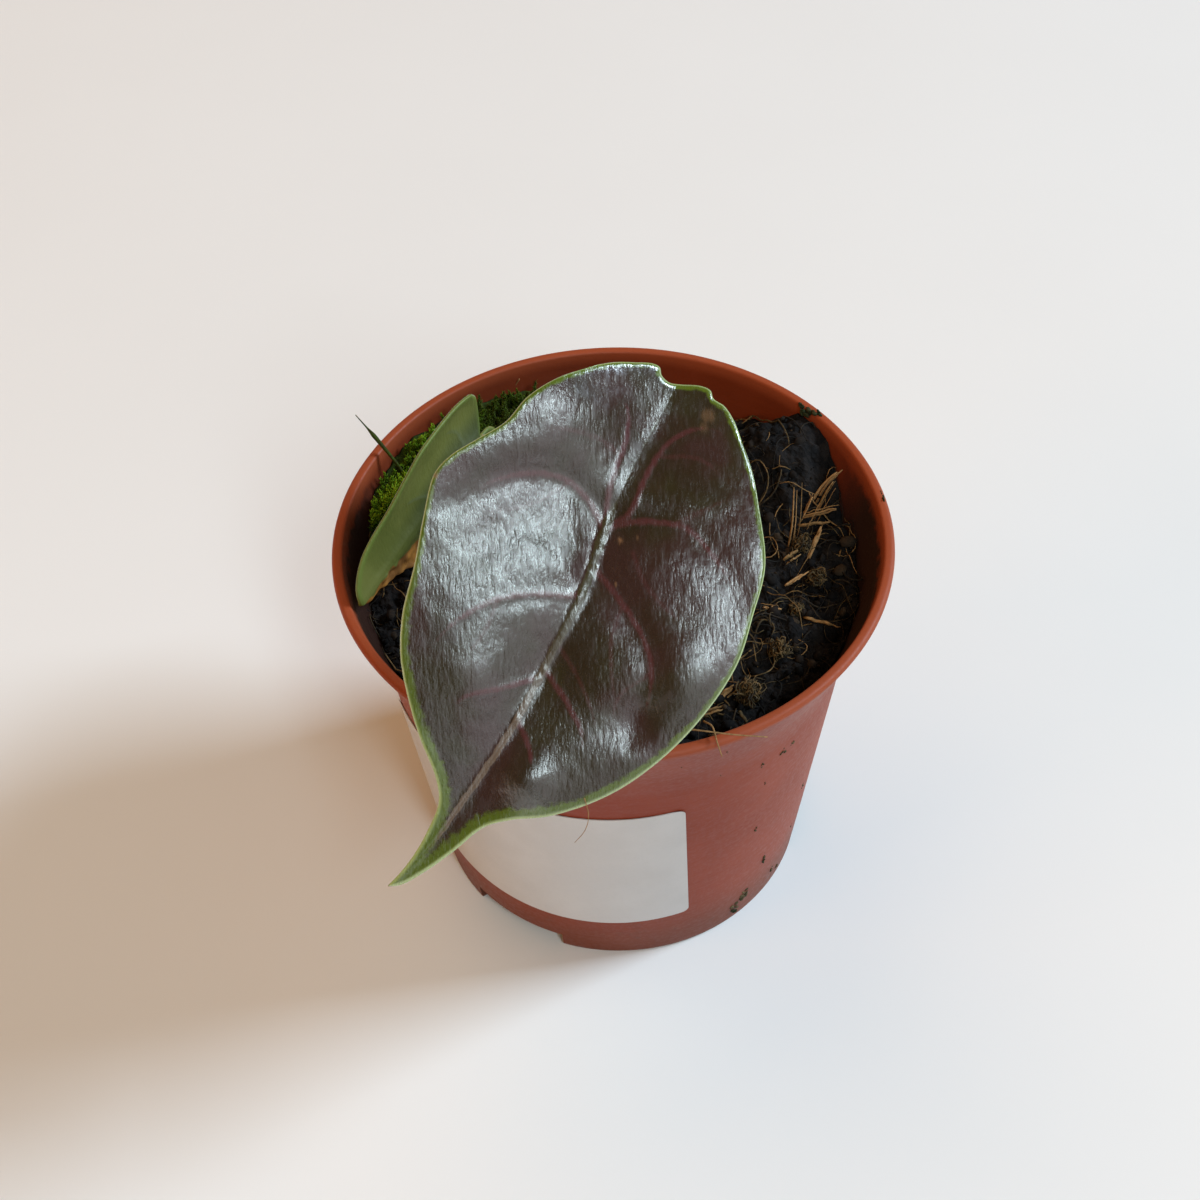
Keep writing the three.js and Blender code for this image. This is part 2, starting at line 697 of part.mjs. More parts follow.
// A stem rises from the flat top of the corm and meets the underside of its blade squarely.
function stem(leaf, base) {
  const straight = 3;
  const depth = leaf.thickness + leaf.keel + CUP_DEPTH + CLEARANCE;
  const below = (distance) => new THREE.Vector3(...leaf.junction).addScaledVector(facing(leaf), -distance);
  const path = curveThrough([
    [base.x, base.y, CORM.top + CLEARANCE],
    [base.x, base.y, CORM.top + straight],
    base.bend,
    below(depth + straight).toArray(),
    below(depth).toArray(),
  ]);
  const radius = (share) => base.topRadius + (base.baseRadius - base.topRadius) * (1 - share) ** 3;
  return taperedBar(path, radius, 18, 10);
}

// The whole plant in its pot

const plant = new THREE.Group();
plant.add(piece('pot', pot(), 0xa4583f, 0.5));
plant.add(piece('label', label(), 0xe6e4e2, 0.6));
plant.add(piece('soil', soil(cormAndRoots(CLEARANCE)), 0x2b2119, 1));
plant.add(piece('moss', moss(), 0x4f7d22, 0.95));
plant.add(piece('corm_and_roots', toGeometry(cormAndRoots(0)), 0x8a6a48, 0.9));
plant.add(piece('leaf_1_petiole', stem(BIG_LEAF, BIG_STEM), 0x6f7f3c, 0.5));
plant.add(piece('leaf_2_petiole', stem(SMALL_LEAF, SMALL_STEM), 0x77863f, 0.5));
plant.add(placed(BIG_LEAF, piece('leaf_1_blade', blade(BIG_LEAF, FINE_COLUMNS), 0x3a2a26, 0.3)));
plant.add(placed(SMALL_LEAF, piece('leaf_2_blade', blade(SMALL_LEAF, COARSE_COLUMNS), 0x6d7c50, 0.5)));

export default plant;
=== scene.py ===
# A potted Alocasia azlanii: the finished looks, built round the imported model.
# Sizes and places are in millimetres, in the model's own frame, and turn into metres when a mesh is made.
# Angles round the pot are in degrees from +X towards +Y, so the front is at -90.

import math
import random

import bmesh
import bpy
import numpy as np
from mathutils import Matrix, Vector, noise


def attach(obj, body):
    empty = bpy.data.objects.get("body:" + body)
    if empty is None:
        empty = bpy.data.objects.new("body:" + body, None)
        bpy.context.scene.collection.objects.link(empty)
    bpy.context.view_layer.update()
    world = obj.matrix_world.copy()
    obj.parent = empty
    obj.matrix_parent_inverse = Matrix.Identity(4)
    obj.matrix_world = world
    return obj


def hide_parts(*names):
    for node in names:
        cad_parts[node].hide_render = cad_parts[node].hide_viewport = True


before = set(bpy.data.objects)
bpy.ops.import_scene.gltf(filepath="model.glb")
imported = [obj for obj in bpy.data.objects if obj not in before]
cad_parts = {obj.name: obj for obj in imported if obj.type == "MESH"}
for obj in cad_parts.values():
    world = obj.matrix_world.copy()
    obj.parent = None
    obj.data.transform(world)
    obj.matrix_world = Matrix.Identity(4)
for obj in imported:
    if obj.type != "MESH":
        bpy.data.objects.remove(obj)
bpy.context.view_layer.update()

# Driving dimensions

MM = 0.001
GAP = 0.3

CAMERA = {
    "place": (0, -128.0719, 186.4527),
    "turn": (40.9173, 1.4287, -0.9329),
    "lens": 35,
    "sensor": 24,
}

POT = {
    "height": 50,
    "wall": 0.8,
    "floor": 1.2,
    "segments": 240,
    # Outside of the wall, from the foot up: [radius, height]. It is straight up to the flare.
    "outside": [[22.4, 0.5], [26.1, 38], [26.9, 41.5], [28.2, 45], [29.4, 48], [30, 49.3]],
    "lip": 1.2,
    "outer_rounding": 0.55,
    "inner_rounding": 0.36,
    "foot": 3.6,
    "foot_edge": 0.5,
    "centre": 8,
    "recess": 0.5,
    "inner_corner": 0.6,
}
NOTCH = {"count": 3, "first": -140.4, "width": 31.4, "height": 2.8, "inner": 18.5}

LABEL = {
    "axis": -110,
    "left": -22.2,
    "right": 15.8,
    "bottom": 8.3,
    "height": 25,
    "corner": 0.9,
    "inner": 0.04,
    "outer": 0.16,
}

SOIL = {
    "level": 43.8,
    "highest": 49.2,
    "lumps": 0.7,
    "rings": 110,
    "segments": 300,
    "crumbs": 1900,
    "fibres": 780,
    "chips": 46,
    # The mix is banked up against the wall, high at the back right and a little under the moss.
    "banks": [
        {"angle": 36, "radius": 25.5, "height": 6.2, "along": 6.5, "inward": 6.5},
        {"angle": 140, "radius": 25, "height": 2, "along": 20, "inward": 7},
    ],
}

# The cushion of moss lies against the wall between two angles. At its ends it narrows to the end radius.
MOSS = {"seat": 44.6, "first": 106, "last": 171, "inner": 19.5, "end": 26.2, "height": 3, "shoots": 620}
MOSS_STALK = [[-22.3, 11, 46], [-23.6, 11.8, 48.8], [-26, 13.5, 51.8], [-28.1, 15, 54]]

# Single fibres that lie over the lip, hang from the leaf's edge or cling to the wall: (points, radius).
STRAY_FIBRES = [
    (
        [[1.5, -21.5, 42.5], [4.2, -24.6, 47.6], [7.2, -27.2, 50.7], [10.8, -28.1, 51], [14.3, -28.4, 50.8]],
        0.12,
    ),
    ([[8.4, -25.4, 49.6], [9.1, -26.7, 50.45], [9.5, -28.7, 50.4], [9.9, -29.6, 49.5]], 0.11),
    ([[-3.2, -38.1, 55.5], [-2.9, -38.7, 53.6], [-3.3, -39, 51.6], [-4.3, -39.1, 49.8]], 0.05),
    ([[-10.4, 26.4, 48.4], [-11.2, 26, 47.2], [-12.6, 24.8, 45.4]], 0.07),
]
# Flat strips and stout fibres of coir that stand out of the mix, most of them in a bunch at the right.
COIR_STRIPS = [
    [[19.3, 2.4, 43.6], [19.7, 3.4, 46.6], [20.1, 7, 48.6]],
    [[18.6, -3.6, 44.6], [20.4, -2.6, 45.1]],
    [[20.1, -8.2, 44.4], [22.9, -9.7, 45]],
    [[15.9, -6.5, 44.4], [17.8, -6.9, 44.4]],
    [[9.8, -19.2, 44.4], [11.8, -17.8, 44.9]],
    [[8.8, -20.4, 44.6], [10.7, -20, 44.9]],
    [[22.2, 8, 44.6], [23.8, 9.2, 47], [25.2, 9.7, 48.2]],
    [[22.3, 6, 44.4], [23.6, 7.4, 46.8], [24.6, 8.3, 48.2]],
    [[20.9, 5.6, 44.4], [22.3, 7.3, 46.8]],
    [[21.2, 6, 45], [24.8, 5.6, 46.6]],
    [[20.7, 4.8, 44.9], [24, 4.5, 45.5]],
    [[21.4, 0.8, 44.2], [23, 3.9, 45.6]],
    [[18.6, 0.2, 44.3], [20.2, 0.9, 45.1]],
]
# Soft balls of tangled fibre on the mix: [x, y, radius]. Each is wound from the same number of threads.
THREADS = 46
TUFTS = [[22, -2.6, 1.3], [17.2, -12.6, 1.3], [13.4, -18.4, 1.7], [19.5, -6.6, 1], [20.8, 2, 1.1]]
# Lumps of mix and moss left on the lip: [angle, distance out from the lip's middle, height, size].
LIP_LUMPS = [
    [39, -0.9, 49.5, 0.7], [37.2, -0.5, 49.9, 0.65], [36, -0.1, 50.2, 0.45], [40.4, -0.6, 50, 0.5],
    [6.6, 0.2, 50, 0.32], [8, 0.25, 49.9, 0.36], [9.4, 0.2, 49.9, 0.3],
]

CORM = {"x": 0.3, "y": 1.6, "top": 46, "radius": 3.5}

# Papery scales of old leaves round the feet of the stems: [angle, radius, height, half of their arc].
SHEATHS = [[-60, 2.9, 6.5, 65], [150, 2.7, 8, 60], [60, 3, 5, 50]]

# Crumbs of mix that stick to the outside of the wall: [angle, height, size].
WALL_CRUMBS = [
    [-47.4, 35.4, 0.45], [-44.6, 35.7, 0.3], [-54.5, 36.1, 0.28], [-28.5, 17.9, 0.5], [-51.8, 21, 0.4],
    [-44.4, 10.8, 0.5], [-37.5, 4.2, 0.45], [-28.7, 9.2, 0.35], [-33.1, 2.2, 0.4], [-68, 46, 0.16],
    [-77.3, 45, 0.14], [-52.1, 31.2, 0.2], [-66.7, 38.4, 0.16], [-53.9, 3, 1], [-52, 3.6, 0.9],
    [-50.3, 4.8, 0.7],
]

# Points on a blade are [along, across] from the place where its stem joins it, with along towards the tip.
# Turn is about +Z, tilt leans the blade from level, and heading turns it in its own plane.
BIG_LEAF = {
    "junction": (-0.7, -20.5, 72),
    "turn": 0,
    "tilt": 43.2,
    "heading": -123.1,
    "left": [
        [-12.2, -8.2], [-9.3, -10.5], [-6.4, -11.9], [-3.6, -12.4], [-0.9, -13.8], [1.5, -15], [3.6, -15.4],
        [7.4, -14.3], [11.5, -12.8], [15.8, -11.5], [19.1, -9.8], [22, -7.4], [24.8, -4.5], [27.3, -1.4],
        [29.2, 0], [32, 0.5], [34.8, 0.6], [37, 0.4], [39, 0],
    ],
    "right": [
        [-13.2, 6.3], [-11.2, 8.6], [-8.9, 10.6], [-4.7, 13.8], [-0.4, 15.2], [4, 16.3], [9.6, 16.2],
        [15.1, 15.1], [20.3, 12.9], [24.8, 9.4], [27, 6.6], [29, 4.8], [32.5, 3.6], [35.8, 2.3], [38.2, 1],
        [39, 0],
    ],
    "top": [
        [-12.2, -8.2], [-13.2, -7.1], [-14.3, -5.4], [-15, -4.2], [-15.1, -3.4], [-14.6, -2.9], [-14.4, -2],
        [-14.8, -1], [-15.6, 0.6], [-15.7, 1.6], [-15.2, 2.2], [-15.1, 3.4], [-14.4, 4.8], [-13.2, 6.3],
    ],
    "midrib": [
        [-14.7, -1.2], [-8, -0.9], [0, 0], [5.5, 1.2], [12.7, 1.8], [20, 2.2], [27.6, 1.9], [33.5, 1.4],
        [39, 0],
    ],
    "veins": [
        [[0, 0], [-3.6, -1.6], [-8.5, -2.8], [-10.6, -4.3], [-10.7, -7.2]],
        [[0, 0], [-2.4, 1.1], [-5.8, 0.7], [-9.4, 0.8], [-11.8, 2.1], [-12.8, 4.1], [-11.6, 6.5]],
        [[0, 0], [-1.6, -2.9], [-2, -5.4], [-1.1, -7.9], [1.1, -10.4], [5.3, -12.7]],
        [[6.2, 1.2], [8.3, -2.6], [10.2, -4.9], [13, -6.7], [15.9, -7.6], [18.8, -7.6]],
        [[14.6, 1.9], [17.2, -0.7], [19.4, -2.9], [22, -3.5]],
        [[0, 0], [-1.6, 1.4], [-3.2, 4], [-3.9, 6.2], [-3.2, 9.1], [-1.7, 12.2], [-0.2, 14.1]],
        [[3.4, 0.9], [4.4, 3.8], [5.7, 6.7], [7.6, 9.4], [10.4, 11.1], [14.3, 12]],
        [[13.6, 1.9], [15.2, 5.5], [16.8, 7.9], [18.8, 9]],
        [[18.8, 2.2], [20.5, 4.6], [22.4, 5.9]],
    ],
    # Fine side veins, which only colour the blade.
    "side_veins": [
        [[-3.6, 5], [-5.4, 6.2], [-7.6, 7.7], [-9.2, 9.2]],
        [[-6.5, -2.1], [-6.6, -5], [-5.6, -8], [-4.2, -10.4]],
        [[-1.9, -4.9], [1.2, -6.6], [3.6, -9.2], [5, -11.8]],
        [[4.9, 4.9], [7.9, 5.6], [11.1, 7.6], [14, 9.9]],
        [[0.4, 3.2], [2.2, 5.6], [3.2, 9], [3.1, 12.4]],
        [[10.2, -4.9], [13.8, -4.4], [17.2, -5]],
        [[8.9, 10.2], [12, 8.9], [15.4, 10]],
        [[11, 1.7], [12.4, 4.6], [14.4, 7.4], [16.9, 9.8]],
        [[-8.2, 0.8], [-9.8, 4], [-9.2, 7.4]],
    ],
    # Each half rises from the midrib at a slope up to its crest, whose distance narrows towards the tip.
    "rise": {"left": 0.27, "right": 0.27},
    "crest": {"left": 19.8, "right": 15.5},
    "narrowing": 0.4,
    "fall": 0.2,
    "droop": {"tip": 0.0032, "lobes": 0.008},
    # How deep the blade folds down at each vein, and how wide: [depth, width].
    "folds": [
        [0.08, 1.5], [0.08, 2.8], [0.6, 1.7], [0.08, 1.5], [0.35, 3], [0.42, 1.8], [0.6, 1.6], [0.46, 3],
        [0.05, 2],
    ],
    # Broad swells and dips between the veins: [along, across, radius, height].
    "swells": [
        [-8.2, -9.3, 5, 0.9], [0.9, -5.6, 4.6, -0.72], [5.8, -10, 5, -0.74], [17.8, -2.7, 3.4, 0.58],
        [7.4, 12.4, 3.4, 0.55], [23, 5.4, 2.3, 0.9], [13.5, 10.9, 2.5, -0.74], [-9.5, 0, 3.3, -0.48],
    ],
    "quilting": 0.07,
    "keel": 0.6,
    "rows": 200,
    "columns": 76,
    # Small tan scars and specks: [along, across, radius, strength].
    "spots": [
        [0.1, 1.7, 0.26, 0.8], [-0.9, 2.9, 0.16, 0.4], [-13.6, 2.6, 0.7, 0.3], [-12.5, 2.8, 0.5, 0.2],
        [3.7, -15.2, 0.28, 0.8], [3.6, 3.4, 0.1, 0.8],
    ],
    "dry": [[0, 0], [39, 0]],
    "green_tip": (31, 38),
    # Width of the green margin at places along the blade: [along, width].
    "band": [[-15, 0.42], [8, 0.48], [20, 0.85], [32, 1.2]],
}

SMALL_LEAF = {
    "junction": (-16.1, 6.2, 56),
    "turn": -124.6,
    "tilt": 91.6,
    "heading": -18.2,
    "left": [
        [-5.4, -4.6], [-3.4, -6], [-0.4, -6.8], [3.6, -7], [7.6, -6.5], [10.8, -5.6], [13.2, -4.2],
        [15, -2.8], [17.3, -1.7], [18.9, -1.1], [19.8, 0],
    ],
    "right": [
        [-4.9, 4.9], [-3.1, 5.8], [-1.2, 6.3], [1.7, 6.8], [4.3, 7], [7.7, 6.2], [11.1, 5.3], [14.3, 4.5],
        [16.7, 3.5], [19, 1.6], [19.8, 0],
    ],
    "top": [
        [-5.4, -4.6], [-5.7, -3.4], [-5, -1.9], [-3.2, -0.8], [-4.2, 0.6], [-5, 1.9], [-5.4, 3.5],
        [-4.9, 4.9],
    ],
    "midrib": [[-3.6, -0.5], [0, 0], [5, -0.5], [10, -0.6], [15, -0.3], [19.8, 0]],
    "veins": [
        [[0, 0], [-1, 3], [1.5, 5.5]],
        [[5, -0.5], [7, 2], [10, 3.8]],
        [[0, 0], [-1, -3], [1.5, -5.4]],
        [[5, -0.5], [7, -3], [10, -4.4]],
    ],
    "side_veins": [[[9, -0.6], [11, 1.2], [13.6, 2.4]], [[2, 0], [3.6, 3.4], [6, 5]]],
    "rise": {"left": 0.26, "right": 0.26},
    "crest": {"left": 4.2, "right": 4.2},
    "narrowing": 0,
    "fall": 0.3,
    "droop": {"tip": 0.0005, "lobes": 0.005},
    "folds": [[0.1, 1.9], [0.12, 1.9], [0.1, 1.9], [0.12, 1.9]],
    "swells": [],
    "quilting": 0.06,
    "keel": 0.45,
    "rows": 120,
    "columns": 44,
    "spots": [],
    # Width of the dried band at the left margin, at places along the blade: [along, width].
    "dry": [[5.5, 0], [8.5, 3], [10, 3.3], [12.2, 2.4], [15, 2.3], [17.3, 1], [19, 0.8], [19.8, 0.8]],
    "green_tip": (40, 50),
    "band": [[-6, 0.5], [20, 0.5]],
}
# The blade dips to its stem in a small funnel.
CUP = {"depth": 0.7, "spread": 5}
BLADE = {
    "thickness": 0.5,
    "edge": 0.4,
    "rib_width": 0.44,
    "rib_height": 0.42,
    "keel_width": 0.8,
    "ridge_width": 0.35,
    "end": 0.997,
}

# Stems rise from the flat top of the corm. Depth is how far below the blade's face they end.
BIG_STEM = {"x": 1.9, "y": 1.2, "base": 1.5, "top": 1.05, "bend": [1.6, -3.5, 57], "depth": 1.35}
SMALL_STEM = {"x": -1.5, "y": 1.4, "base": 1.25, "top": 0.8, "bend": [-5.2, 1.6, 53.5], "depth": 1.25}

# Half of the width of the floor.
FLOOR_HALF = 4000


# Curves and small helpers

def smoothstep(low, high, value):
    x = np.clip((value - low) / (high - low), 0, 1)
    return x * x * (3 - 2 * x)


def polar(radius, angle, z):
    """Points at an angle in degrees round the pot's axis."""
    turn = np.radians(angle)
    return np.stack(np.broadcast_arrays(radius * np.cos(turn), radius * np.sin(turn), z), -1)


def unit(vectors):
    return vectors / np.linalg.norm(vectors, axis=-1, keepdims=True)


def curve_through(points, count):
    """Evenly spaced points on a centripetal Catmull-Rom curve through the given points."""
    given = np.array(points, float)
    padded = np.vstack([2 * given[0] - given[1], given, 2 * given[-1] - given[-2]])
    fine = [given[:1]]
    t = np.linspace(0, 1, 25)[1:, None]
    for p0, p1, p2, p3 in zip(padded, padded[1:], padded[2:], padded[3:]):
        d0, d1, d2 = (math.sqrt(math.dist(a, b)) for a, b in ((p0, p1), (p1, p2), (p2, p3)))
        leave = ((p1 - p0) / d0 - (p2 - p0) / (d0 + d1) + (p2 - p1) / d1) * d1
        arrive = ((p2 - p1) / d1 - (p3 - p1) / (d1 + d2) + (p3 - p2) / d2) * d1
        square = 3 * p2 - 3 * p1 - 2 * leave - arrive
        cube = 2 * p1 - 2 * p2 + leave + arrive
        fine.append(p1 + leave * t + square * t**2 + cube * t**3)
    fine = np.vstack(fine)
    steps = np.r_[0, np.cumsum(np.linalg.norm(np.diff(fine, axis=0), axis=1))]
    places = np.linspace(0, steps[-1], count)
    return np.stack([np.interp(places, steps, fine[:, k]) for k in range(fine.shape[1])], -1)


def nearest(points, line):
    """Each point's distance from a line of close samples, and its share of the way along that line."""
    flat = points.reshape(-1, 2)
    distance = np.empty(len(flat))
    index = np.empty(len(flat), int)
    block = 4000
    for start in range(0, len(flat), block):
        part = slice(start, start + block)
        gaps = np.hypot(flat[part, None, 0] - line[:, 0], flat[part, None, 1] - line[:, 1])
        index[part] = gaps.argmin(1)
        distance[part] = gaps.min(1)
    shape = points.shape[:-1]
    return distance.reshape(shape), (index / (len(line) - 1)).reshape(shape)


def grain(x, y, size, seed):
    """Smooth noise from about -1 to 1 at each place, with features of the given size."""
    x, y = np.broadcast_arrays(x, y)
    values = [noise.noise((a / size, b / size, seed)) for a, b in zip(x.ravel().tolist(), y.ravel().tolist())]
    return np.array(values).reshape(x.shape)


# Meshes

def bare_object(name, points, faces):
    """An object from points in millimetres, with the faces of its closed bodies turned to look out."""
    mesh = bpy.data.meshes.new(name)
    mesh.from_pydata((np.asarray(points, float) * MM).tolist(), [], faces)
    shape = bmesh.new()
    shape.from_mesh(mesh)
    bmesh.ops.recalc_face_normals(shape, faces=shape.faces)
    shape.to_mesh(mesh)
    shape.free()
    made = bpy.data.objects.new(name, mesh)
    bpy.context.scene.collection.objects.link(made)
    return made


def piece(name, points, faces, material, replaced=()):
    """A piece of the plant or of its pot. It rides on the one body."""
    made = bare_object(name, points, faces)
    made.data.materials.append(material)
    made.data.shade_smooth()
    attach(made, "root")
    if replaced:
        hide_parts(*replaced)
    return made


def set_values(made, **attributes):
    """Stores a number or a place for each point, for the material to read."""
    for name, values in attributes.items():
        values = np.ascontiguousarray(values, np.float32)
        kind, field = ("FLOAT", "value") if values.ndim == 1 else ("FLOAT_VECTOR", "vector")
        made.data.attributes.new(name, kind, "POINT").data.foreach_set(field, values.ravel())


def grid_faces(at):
    """Quads of a grid of point numbers."""
    corners = (at[:-1, :-1], at[1:, :-1], at[1:, 1:], at[:-1, 1:])
    return np.stack(corners, -1).reshape(-1, 4).tolist()


def sheet_faces(rows, columns):
    """Faces of a thin closed sheet, whose upper and lower faces share the points of their border."""
    upper = np.arange(rows * columns).reshape(rows, columns)
    lower = upper.copy()
    lower[1:-1, 1:-1] = rows * columns + np.arange((rows - 2) * (columns - 2)).reshape(rows - 2, columns - 2)
    return grid_faces(upper) + grid_faces(lower)


def sheet_values(upper, lower):
    """What the points of a closed sheet hold: the upper face's, then the lower face's inside its border."""
    tail = upper.shape[2:]
    return np.concatenate([upper.reshape(-1, *tail), lower[1:-1, 1:-1].reshape(-1, *tail)])


def ring_faces(rings, sides):
    """Quads of a tube of rings, and one face on each end."""
    at = np.arange(rings * sides).reshape(rings, sides)
    around = np.hstack([at, at[:, :1]])
    return grid_faces(around) + [at[0].tolist(), at[-1].tolist()]


def turned(profile, segments):
    """Points and faces of a turned body. The profile has no point on the axis: its ends are closed flat."""
    ring = np.array(profile)
    angles = np.arange(segments) * 360 / segments
    points = polar(ring[:, None, 0], angles[None], ring[:, None, 1]).reshape(-1, 3)
    return points, ring_faces(len(ring), segments)


def bar(path, radius, sides=6, flat=1.0):
    """Points and faces of a closed bar along a line of points, with a radius for each of them."""
    path = np.asarray(path, float)
    radius = np.broadcast_to(radius, len(path))[:, None, None]
    ahead = unit(np.gradient(path, axis=0))
    side = np.cross(ahead[0], np.eye(3)[np.abs(ahead[0]).argmin()])
    aside = []
    for direction in ahead:
        side = unit(side - direction * side.dot(direction))
        aside.append(side)
    aside = np.array(aside)
    up = np.cross(ahead, aside)
    turns = (np.arange(sides) * 2 * np.pi / sides)[:, None]
    rings = path[:, None] + radius * (aside[:, None] * np.cos(turns) + flat * up[:, None] * np.sin(turns))
    return rings.reshape(-1, 3), ring_faces(len(path), sides)


class Pile:
    """Many small closed shapes in one mesh, each with its own tint from 0 to 1."""

    def __init__(self):
        self.points = []
        self.faces = []
        self.tints = []
        self.count = 0

    def add(self, shape, tint):
        points, faces = shape
        self.points.append(points)
        self.faces += [[corner + self.count for corner in face] for face in faces]
        self.tints.append(np.broadcast_to(tint, len(points)))
        self.count += len(points)

    def build(self, name, material, replaced=()):
        made = piece(name, np.vstack(self.points), self.faces, material, replaced)
        set_values(made, tint=np.concatenate(self.tints))
        return made


# Materials

class Shader:
    """A procedural material on one Principled shader. Values are sockets, numbers or colours."""

    def __init__(self, name, **values):
        self.material = bpy.data.materials.new(name)
        self.material.use_nodes = True
        self.tree = self.material.node_tree
        self.surface = self.tree.nodes["Principled BSDF"]
        self.set(**values)

    def set(self, **sockets):
        for socket, value in sockets.items():
            self.feed(self.surface.inputs[socket.replace("_", " ")], value)

    def add(self, kind, inputs=(), output=0, **settings):
        node = self.tree.nodes.new("ShaderNode" + kind)
        for setting, value in settings.items():
            setattr(node, setting, value)
        for socket, value in dict(inputs).items():
            self.feed(node.inputs[socket], value)
        return node.outputs[output]

    def feed(self, socket, value):
        if isinstance(value, bpy.types.NodeSocket):
            self.tree.links.new(value, socket)
        else:
            socket.default_value = value

    def value_of(self, attribute):
        return self.add("Attribute", output="Fac", attribute_name=attribute)

    def vector_of(self, attribute):
        return self.add("Attribute", output="Vector", attribute_name=attribute)

    def place(self):
        """Place on the object, in millimetres."""
        here = self.add("TexCoord", output="Object")
        return self.add("VectorMath", {0: here, "Scale": 1 / MM}, operation="SCALE")

    def noise(self, vector, size, detail=3.0, roughness=0.55, distortion=0.0):
        inputs = {"Vector": vector, "Scale": 1 / size, "Detail": detail, "Roughness": roughness}
        return self.add("TexNoise", {**inputs, "Distortion": distortion})

    def cells(self, vector, size):
        return self.add("TexVoronoi", {"Vector": vector, "Scale": 1 / size})

    def stretched(self, vector, factors, turn=(0, 0, 0)):
        aimed = self.add("VectorRotate", {"Vector": vector, "Rotation": turn}, rotation_type="EULER_XYZ")
        return self.add("VectorMath", {0: aimed, 1: factors}, operation="MULTIPLY")

    def ranged(self, value, low, high, out_low=0.0, out_high=1.0):
        """The value as it goes smoothly from one range to another."""
        inputs = {"Value": value, "From Min": low, "From Max": high, "To Min": out_low, "To Max": out_high}
        return self.add("MapRange", inputs, interpolation_type="SMOOTHSTEP")

    def maths(self, operation, a, b):
        return self.add("Math", {0: a, 1: b}, operation=operation)

    def mixed(self, factor, a, b):
        """Colour a, turning into colour b as the factor goes from 0 to 1."""
        a, b = (c if isinstance(c, bpy.types.NodeSocket) else (*c, 1) for c in (a, b))
        return self.add("Mix", {0: factor, 6: a, 7: b}, output=2, data_type="RGBA")

    def bump(self, height, distance, under=None):
        """Relief of the given height in millimetres, on top of the relief under it."""
        inputs = {"Height": height, "Distance": distance * MM}
        if under:
            inputs["Normal"] = under
        return self.add("Bump", inputs)


def pot_material():
    # A faint sheen stands for the dust on the plastic.
    shader = Shader(
        "terracotta_plastic", Specular_IOR_Level=0.25,
        Sheen_Weight=0.05, Sheen_Roughness=0.5, Sheen_Tint=(1.0, 0.65, 0.5, 1),
    )
    here = shader.place()
    level = shader.add("VectorMath", {0: here, 1: (1, 1, 0)}, operation="MULTIPLY")
    facing = shader.add("NewGeometry", output="Normal")
    outward = shader.add("VectorMath", {0: facing, 1: level}, output="Value", operation="DOT_PRODUCT")
    outside = shader.ranged(outward, -6, 6)
    height = shader.add("SeparateXYZ", {0: here}, output="Z")
    broad = shader.noise(here, 14, detail=4)
    fine = shader.noise(here, 0.5, detail=5)
    flow = shader.noise(shader.stretched(here, (0.3, 0.3, 2)), 2.6, detail=4)
    scuffed = shader.mixed(shader.ranged(broad, 0.35, 0.68), (0.225, 0.029, 0.008), (0.265, 0.036, 0.011))
    # The inside of the wall has a darker, redder copy of the plastic's colour: painted shade inside the pot.
    inside_shaded = shader.mixed(shader.ranged(broad, 0.35, 0.68), (0.155, 0.023, 0.005), (0.19, 0.029, 0.007))
    # A near-black film on the inside of the wall, up to a ragged line but not at the back, is painted shade
    # where the wall lies in shadow, drawn as mix that clings to it.
    near = shader.ranged(shader.add("SeparateXYZ", {0: here}, output="Y"), 15, 4)
    shade_film = shader.maths("ADD", shader.maths("MULTIPLY", shader.noise(here, 1.5, detail=5), 4), height)
    shade_film = shader.maths("MULTIPLY", shader.ranged(shade_film, 51.2, 49.6), near)
    inside_shaded = shader.mixed(shader.maths("MULTIPLY", shade_film, 0.93), inside_shaded, (0.008, 0.005, 0.004))
    colour = shader.mixed(outside, inside_shaded, scuffed)
    # The top of the lip is painted lighter and redder: painted light where it faces up.
    colour = shader.mixed(shader.ranged(height, 48.2, 49.8), colour, (0.31, 0.06, 0.02))
    dust = shader.maths(
        "MULTIPLY", shader.ranged(fine, 0.46, 0.72), shader.ranged(broad, 0.3, 0.62, 0.1, 0.5)
    )
    dust = shader.maths("MULTIPLY", dust, outside)
    colour = shader.mixed(dust, colour, (0.30, 0.075, 0.042))
    stain = shader.ranged(shader.noise(here, 2.4, detail=6), 0.58, 0.72, 0.65, 0.95)
    # The wall darkens unevenly towards the foot.
    foot_darkening = shader.maths("MULTIPLY", stain, shader.ranged(height, 12, 1))
    colour = shader.mixed(foot_darkening, colour, (0.12, 0.032, 0.014))
    relief = shader.bump(fine, 0.02, shader.bump(flow, 0.05))
    shader.set(Base_Color=colour, Normal=relief, Roughness=shader.ranged(fine, 0.3, 0.7, 0.44, 0.6))
    return shader.material


def label_material():
    shader = Shader("label_paper", Specular_IOR_Level=0.35)
    here = shader.place()
    fine = shader.noise(here, 0.35, detail=5)
    broad = shader.noise(here, 9)
    colour = shader.mixed(shader.ranged(broad, 0.35, 0.7), (0.55, 0.525, 0.515), (0.59, 0.565, 0.555))
    colour = shader.mixed(shader.ranged(fine, 0.6, 0.75, 0, 0.25), colour, (0.50, 0.48, 0.46))
    rough = shader.ranged(fine, 0.3, 0.7, 0.45, 0.6)
    shader.set(Base_Color=colour, Normal=shader.bump(fine, 0.015), Roughness=rough)
    return shader.material


